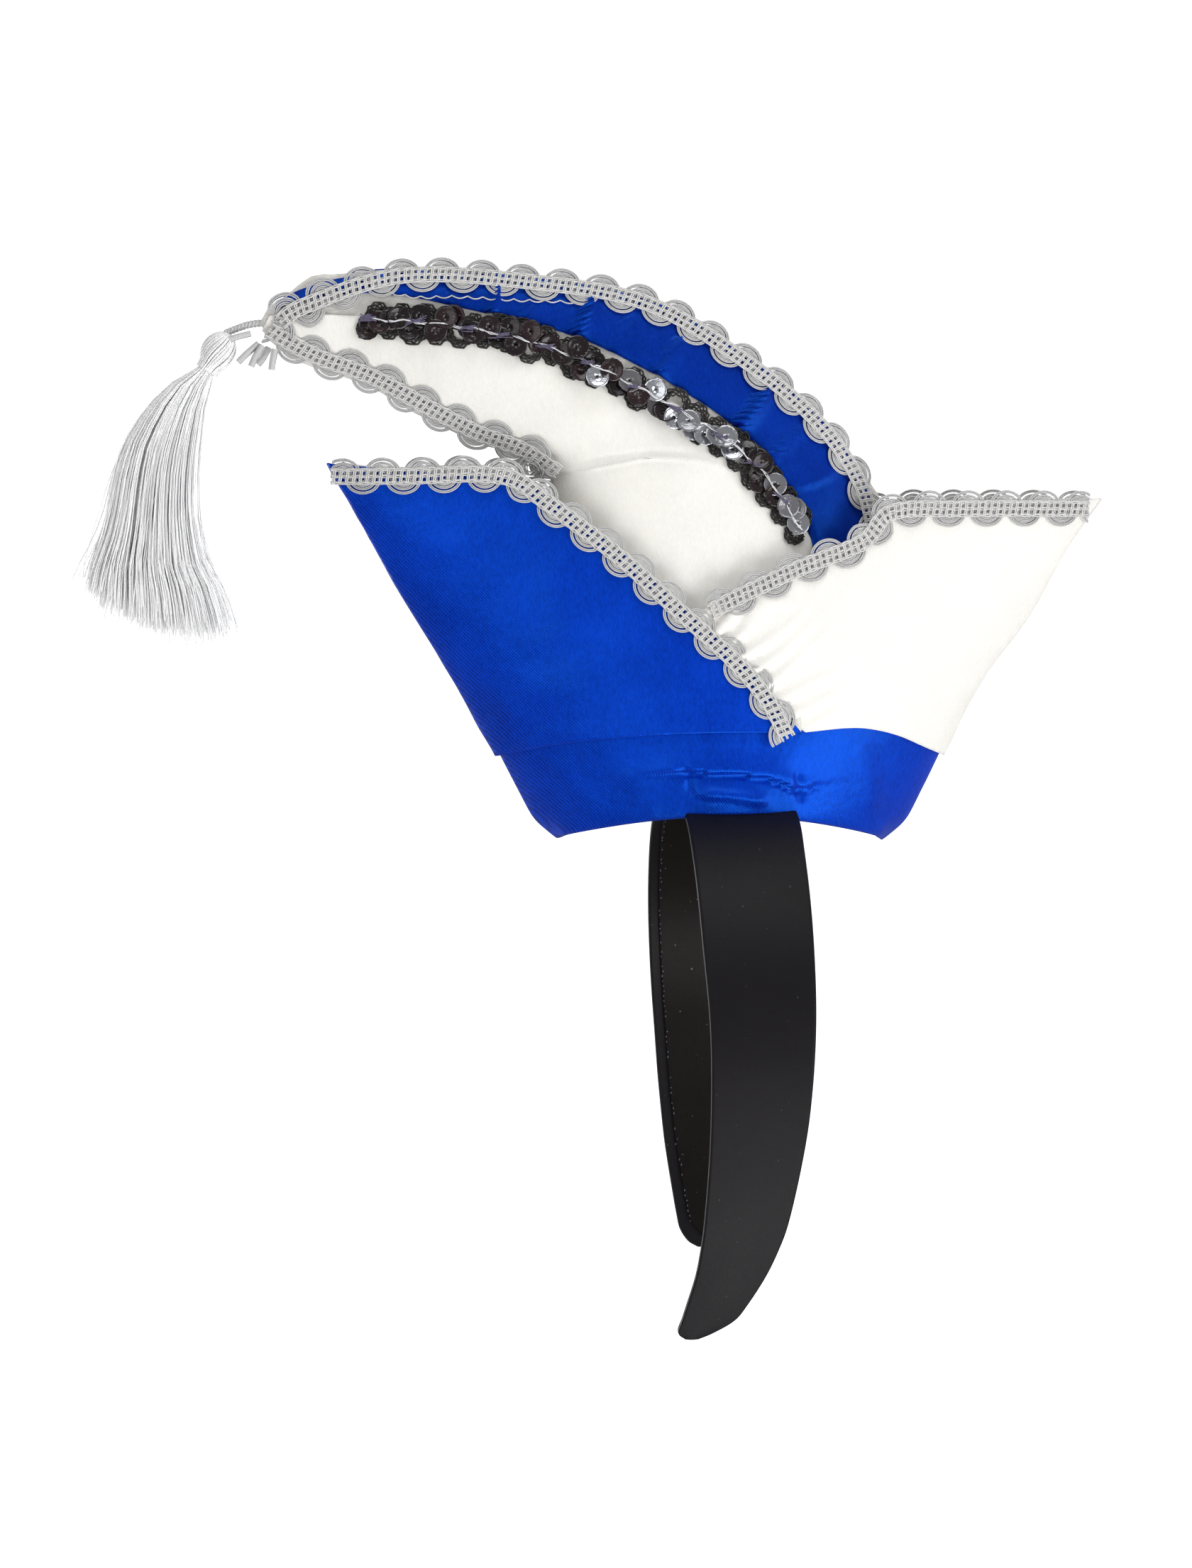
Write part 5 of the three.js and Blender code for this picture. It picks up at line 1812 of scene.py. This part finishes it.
@dataclass(frozen=True)
class SequinString:
    """Cupped sequins sewn over crochet loops, with a clear thread down the middle."""

    cap: CapShape
    side: Side
    radius: float = 3 * MM
    hole: float = 0.35 * MM
    cup: float = 0.35 * MM
    pitch: float = 2.75 * MM
    stagger: float = 2.0 * MM

    def one(self) -> bpy.types.Mesh:
        """One sequin: a flat middle round its hole and a raised rim."""
        bm = bmesh.new()
        ring = bmesh.ops.create_circle(bm, segments=14, radius=self.hole)["verts"]
        edges = list({e for v in ring for e in v.link_edges})
        for radius, height in ((0.45 * self.radius, 0.0), (0.8 * self.radius, 0.45 * self.cup),
                               (self.radius, self.cup)):
            made = bmesh.ops.extrude_edge_only(bm, edges=edges)["geom"]
            edges = [g for g in made if isinstance(g, bmesh.types.BMEdge)]
            verts = [g for g in made if isinstance(g, bmesh.types.BMVert)]
            now = verts[0].co.xy.length
            bmesh.ops.scale(bm, verts=verts, vec=(radius / now, radius / now, 1))
            for vert in verts:
                vert.co.z = height
        bmesh.ops.recalc_face_normals(bm, faces=bm.faces)
        bmesh.ops.solidify(bm, geom=bm.faces, thickness=0.1 * MM)
        mesh = bpy.data.meshes.new("one_sequin")
        bm.to_mesh(mesh)
        bm.free()
        return mesh

    def shade(self, share: float, chance: np.random.Generator) -> float:
        """How silver a sequin is: dark at both ends of the string, mixed from the middle on."""
        silver = 0.12 + 0.62 * math.exp(-((share - 0.72) / 0.2) ** 2)
        return chance.uniform(0.6, 1.0) if chance.random() < silver else chance.uniform(0.0, 0.5)

    def build(self, wear: Wardrobe) -> None:
        """Makes the string on one side."""
        shell = self.cap.crown()
        route = self.cap.bead_line()[::-1, :2]
        track = Track.over(shell, self.cap.crest_rise, route, 2 * self.radius, 0.3, 0.15 * MM, self.side)
        sequins = self.sequins(track, wear)
        loops = thread_mesh("loops", [track.lay(path) for path in self.loops(track)], 0.3 * MM, 4)
        thread = thread_mesh("thread", [track.lay(path) for path in self.thread(track)], 0.13 * MM, 4)
        knots = thread_mesh("knots", [track.lay(path) for path in self.knots(track)], 0.14 * MM, 4)
        backing = thread_object(f"sequin_crochet_{self.side.label}", [loops, thread, knots],
                                [wear.crochet, wear.bead_thread, wear.knot])
        settle(backing, [f"sequin_string_{self.side.label}"])
        settle(sequins, [f"sequin_string_{self.side.label}"])

    def sequins(self, track: Track, wear: Wardrobe) -> bpy.types.Object:
        """All the sequins of the string as one mesh, each with its own shade."""
        chance = np.random.default_rng(41 + self.side.value)
        one = self.one()
        bm = bmesh.new()
        shades: list[float] = []
        count = int((track.length - self.radius) / self.pitch)
        for k in range(count):
            along = self.radius * 0.6 + k * self.pitch
            along += chance.uniform(-0.8, 0.8) * MM
            hand = 1 if (k % 2) ^ (chance.random() < 0.2) else -1
            across = self.stagger * hand * chance.uniform(0.15, 1.3)
            height = 0.75 * MM + 0.33 * MM * (k % 4) + chance.uniform(0, 0.25) * MM
            spot = track.lay(np.array([(along, across, height), (along + MM, across, height)]))
            forward = Vector(spot[1] - spot[0]).normalized()
            up = Vector(track.lay(np.array([(along, across, height + MM)]))[0] - spot[0]).normalized()
            turn = Matrix((forward, up.cross(forward), up)).transposed().to_4x4()
            lean = chance.normal(0, 0.13), chance.normal(0, 0.13) + (0.1 if across > 0 else -0.1)
            sway = Matrix.Rotation(lean[0], 4, "Y") @ Matrix.Rotation(lean[1], 4, "X")
            spin = Matrix.Rotation(chance.uniform(0, TAU), 4, "Z")
            known = len(bm.verts)
            bm.from_mesh(one)
            bm.verts.ensure_lookup_table()
            place = Matrix.Translation(spot[0]) @ turn @ sway @ spin
            bmesh.ops.transform(bm, matrix=place, verts=bm.verts[known:])
            shades += [self.shade(k / count, chance)] * (len(bm.verts) - known)
        bpy.data.meshes.remove(one)
        obj = to_object(f"sequins_{self.side.label}", bm, wear.foil)
        stored = obj.data.attributes.new("shade", "FLOAT", "POINT")
        stored.data.foreach_set("value", np.array(shades, np.float32))
        return obj

    def loops(self, track: Track) -> list[np.ndarray]:
        """Crochet loops that stick out between the sequins, three strands each."""
        chance = np.random.default_rng(7 + self.side.value)
        paths = []
        angle = np.linspace(0, math.pi, 14)
        for k in range(int(track.length / (3 * MM))):
            side = 1 if k % 2 else -1
            middle = (k + 0.5) * 3 * MM
            size = chance.uniform(3.9, 5.5) * MM
            for strand in range(4):
                r = size - strand * 0.6 * MM
                wave = 0.25 * MM * np.sin(angle * 11 + strand * 2)
                paths.append(np.stack([
                    middle - (r + wave) * 0.72 * np.cos(angle), side * (r + wave) * np.sin(angle),
                    0.5 * MM + 0.3 * MM * np.cos(angle * 11 + strand * 2),
                ], 1))
        along = np.arange(0.4 * MM, track.length - 0.4 * MM, 0.5 * MM)
        for strand in range(3):
            phase = along * (TAU / (3 * MM)) + strand * TAU / 3
            paths.append(np.stack([along, 0.5 * MM * np.sin(phase), 0.55 * MM + 0.3 * MM * np.cos(phase)], 1))
        return paths

    def thread(self, track: Track) -> list[np.ndarray]:
        """The clear thread that zigzags over the sequins."""
        chance = np.random.default_rng(13 + self.side.value)
        along = np.arange(1 * MM, track.length - 1.5 * MM, 1.1 * MM)
        paths = []
        for strand in range(2):
            across = 0.3 * MM * np.sin(along * (TAU / (9 * MM))) + chance.normal(0, 0.1 * MM, len(along))
            height = 2.0 * MM + chance.normal(0, 0.08 * MM, len(along))
            paths.append(np.stack([along, across + strand * 0.2 * MM, height], 1))
        return paths

    def knots(self, track: Track) -> list[np.ndarray]:
        """Loose thread ends at both ends of the string, and a few along it."""
        chance = np.random.default_rng(23 + self.side.value)
        paths = []
        for middle in (0.5, 2, 14, 27, 36, 47, 58, 71, 83, 96, 107, 118):
            for _ in range(7):
                reach = chance.uniform(1.0, 2.6) * MM
                share = np.linspace(-1, 1, 6)
                lean = chance.normal(0.25, 0.25)
                paths.append(np.stack([
                    middle * MM + reach * share, lean * reach * share + chance.normal(0, 0.3) * MM,
                    2.0 * MM + 0.3 * MM * np.cos(np.pi / 2 * share),
                ], 1))
        return [p[(p[:, 0] > -2.5 * MM)] for p in paths if (p[:, 0] > -2.5 * MM).sum() > 2]


@dataclass(frozen=True)
class Tassel:
    """A silver tassel: a twisted cord, a head of threads over a core, a bound neck and a skirt."""

    cap: CapShape
    cord: float = 0.5 * MM
    cord_across: float = 11 * MM
    cord_drop: float = 7 * MM
    neck_across: float = 3 * MM
    neck_drop: float = 5 * MM
    length: float = 66.8 * MM
    head_radius: float = 4 * MM
    head_length: float = 5 * MM
    strands: int = 900
    thread: float = 0.13 * MM
    depth: float = 7 * MM
    # Down from the neck as a share of the length, then the skirt's left and right edge in mm
    outline = (
        (0, -1.8, 1.8), (0.03, -5.5, 1.2), (0.087, -11.6, 0.4), (0.142, -14.7, -0.8), (0.2, -17.8, -1.2),
        (0.3, -22.0, -2.0), (0.42, -24.4, -2.6), (0.55, -26.0, -2.6), (0.65, -28.0, -1.4),
        (0.75, -31.0, 0.4), (0.85, -33.0, 4.4), (1, -35.0, 7.4),
    )

    def points(self) -> tuple[np.ndarray, np.ndarray, np.ndarray]:
        """Where the cord leaves the horn, the head's middle, and the neck."""
        row = self.cap.crown().rows[-1]
        front, rear = row[:2], row[2:4]
        way = rear - front
        outward = np.array([-way[1], way[0]]) / np.linalg.norm(way)
        hook = front + way * 0.15 + outward * 0.8 * MM
        hook = np.array([hook[0], 0, hook[1]])
        head = hook + (-self.cord_across, 0, -self.cord_drop)
        return hook, head, head + (-self.neck_across, 0, -self.neck_drop)

    def skirt(self, neck: np.ndarray) -> tuple[list[np.ndarray], list[np.ndarray]]:
        """The hanging threads.

        Args:
            neck: Where they leave the neck.

        Returns:
            Their paths, and how thick each is along its way.
        """
        chance = np.random.default_rng(5)
        table = np.array(self.outline, float)
        paths, tapers = [], []
        for i in range(self.strands):
            r, angle = math.sqrt(chance.random()), chance.uniform(0, TAU)
            across, deep = 0.5 + 0.5 * r * math.cos(angle), r * math.sin(angle)
            end = 0.8 + 0.2 * math.sin(min(across * 1.35, 1) * math.pi / 2) + chance.normal(0, 0.022)
            stray = chance.random() < 0.06
            down = np.linspace(0, 1, 13) * end
            left = np.interp(down, table[:, 0], table[:, 1]) * MM
            right = np.interp(down, table[:, 0], table[:, 2]) * MM
            x = left + (right - left) * across
            wave = chance.normal(0, 0.5 if not stray else 2.2) * MM
            x = x + wave * np.sin(down * chance.uniform(3, 8) + chance.uniform(0, TAU)) * down
            if stray:
                x = x - chance.uniform(0, 7) * MM * (1 - across) * down ** 2
            swell = np.interp(down, (0, 0.1, 0.4, 1), (0.25, 0.6, 0.9, 1.1))
            y = deep * self.depth * swell + chance.normal(0, 0.4) * MM * np.sin(down * 6 + angle)
            paths.append(np.stack([neck[0] + x, y, neck[2] - down * self.length], 1))
            tapers.append(np.full(13, chance.uniform(0.75, 1.25)))
        return paths, tapers

    def head_threads(self, head: np.ndarray, neck: np.ndarray) -> list[np.ndarray]:
        """Threads that run over the head from where the cord enters it down to the neck."""
        chance = np.random.default_rng(9)
        axis = (neck - head) / np.linalg.norm(neck - head)
        sideways = np.array([0.0, 1.0, 0.0])
        other = np.cross(axis, sideways)
        share = np.linspace(-1, 1, 14)
        reach = float(np.linalg.norm(neck - head))
        paths = []
        for i in range(110):
            turn = TAU * i / 110 + chance.normal(0, 0.03)
            twist = turn + 0.35 * share + chance.normal(0, 0.05)
            swell = np.sqrt(np.clip(1 - np.clip(share, -1, 0.72) ** 2, 0.02, 1))
            radius = self.head_radius * swell * chance.uniform(0.95, 1.06)
            down = np.where(share < 0, share * self.head_length, share * reach)
            paths.append(head + axis * down[:, None] + radius[:, None] * (
                np.cos(twist)[:, None] * sideways + np.sin(twist)[:, None] * other))
        return paths

    def binding(self, head: np.ndarray, neck: np.ndarray) -> list[np.ndarray]:
        """The winding round the neck."""
        axis = (neck - head) / np.linalg.norm(neck - head)
        sideways = np.array([0.0, 1.0, 0.0])
        other = np.cross(axis, sideways)
        turn = np.linspace(0, 6 * TAU, 110)
        down = np.linspace(-0.9, 1.0, 110) * MM
        radius = 2.35 * MM
        return [neck - axis * 1.2 * MM + axis * down[:, None] + radius * (
            np.cos(turn)[:, None] * sideways + np.sin(turn)[:, None] * other)]

    def cord_strands(self, hook: np.ndarray, head: np.ndarray) -> list[np.ndarray]:
        """Two strands twisted round each other from the horn's tip to the head."""
        entry = head + (1.6 * MM, 0, 4.4 * MM)
        line = smooth_run([hook + (1.5 * MM, 0, 0), hook, hook + (-4 * MM, 0, -0.6 * MM), entry], 70)
        paths = []
        for hand in (0, math.pi):
            turn = np.linspace(0, 6 * TAU, 70) + hand
            off = self.cord * np.stack([np.zeros(70), np.cos(turn), np.sin(turn)], 1)
            paths.append(line + off)
        return paths

    def stubs(self) -> list[np.ndarray]:
        """Cut ends of cord that hang out under the horn's tip."""
        ends = (
            ((-117.5, -2.6, 115.5), (-120.4, -3.2, 113), (-122.6, -3.4, 110.8)),
            ((-116.5, -3.4, 115), (-118.2, -3.8, 112.4), (-119.4, -3.9, 109.8)),
            ((-113.4, -4.4, 114), (-113.9, -4.8, 111.6), (-114.3, -4.8, 108.9)),
            ((-119.5, -1.2, 118), (-123.4, -1.8, 117), (-126.2, -1.9, 115.8)),
            ((-115, 2.6, 114.6), (-116.6, 3.2, 111.8), (-117.8, 3.2, 110.4)),
        )
        return [smooth_run(np.array(points) * MM, 8) for points in ends]

    def build(self, wear: Wardrobe) -> None:
        """Makes the tassel."""
        hook, head, neck = self.points()
        paths, tapers = self.skirt(neck + (0.6 * MM, 0, 1.5 * MM))
        skirt = thread_object("tassel_skirt", [thread_mesh("skirt", paths, self.thread, 4, tapers)],
                              [wear.tassel])
        settle(skirt, ["tassel"])
        over = thread_mesh("over_head", self.head_threads(head, neck), 0.16 * MM, 4)
        bound = thread_mesh("binding", self.binding(head, neck), 0.2 * MM, 4)
        bm = bmesh.new()
        bmesh.ops.create_uvsphere(bm, u_segments=24, v_segments=16, radius=self.head_radius * 0.93)
        bmesh.ops.scale(bm, verts=bm.verts, vec=(1, 1, self.head_length / self.head_radius))
        axis = Vector(neck - head).to_track_quat("Z", "Y").to_matrix()
        bmesh.ops.rotate(bm, verts=bm.verts, cent=(0, 0, 0), matrix=axis)
        bmesh.ops.translate(bm, verts=bm.verts, vec=Vector(head))
        core = bpy.data.meshes.new("core")
        bm.to_mesh(core)
        bm.free()
        top = thread_object("tassel_head", [over, bound, core], [wear.tassel, wear.tassel, wear.tassel])
        settle(top, ["tassel"])
        cord = thread_mesh("cord", self.cord_strands(hook, head), self.cord, 6)
        stubs = thread_mesh("stubs", self.stubs(), 0.9 * MM, 6)
        cord = thread_object("tassel_cord", [cord, stubs], [wear.braid, wear.braid])
        settle(cord, ["tassel"])


def main() -> None:
    """Builds the studio and every piece."""
    logging.basicConfig(level=logging.INFO, format="%(message)s")
    cap = CapShape()
    Studio().set_up()
    wear = Wardrobe.stocked()
    Headband().build(wear)
    Cuff(cap).build(wear)
    Crown(cap).build(wear)
    Braids(cap).build(wear)
    for side in Side:
        SequinString(cap, side).build(wear)
    Tassel(cap).build(wear)


if __name__ == "__main__":
    main()
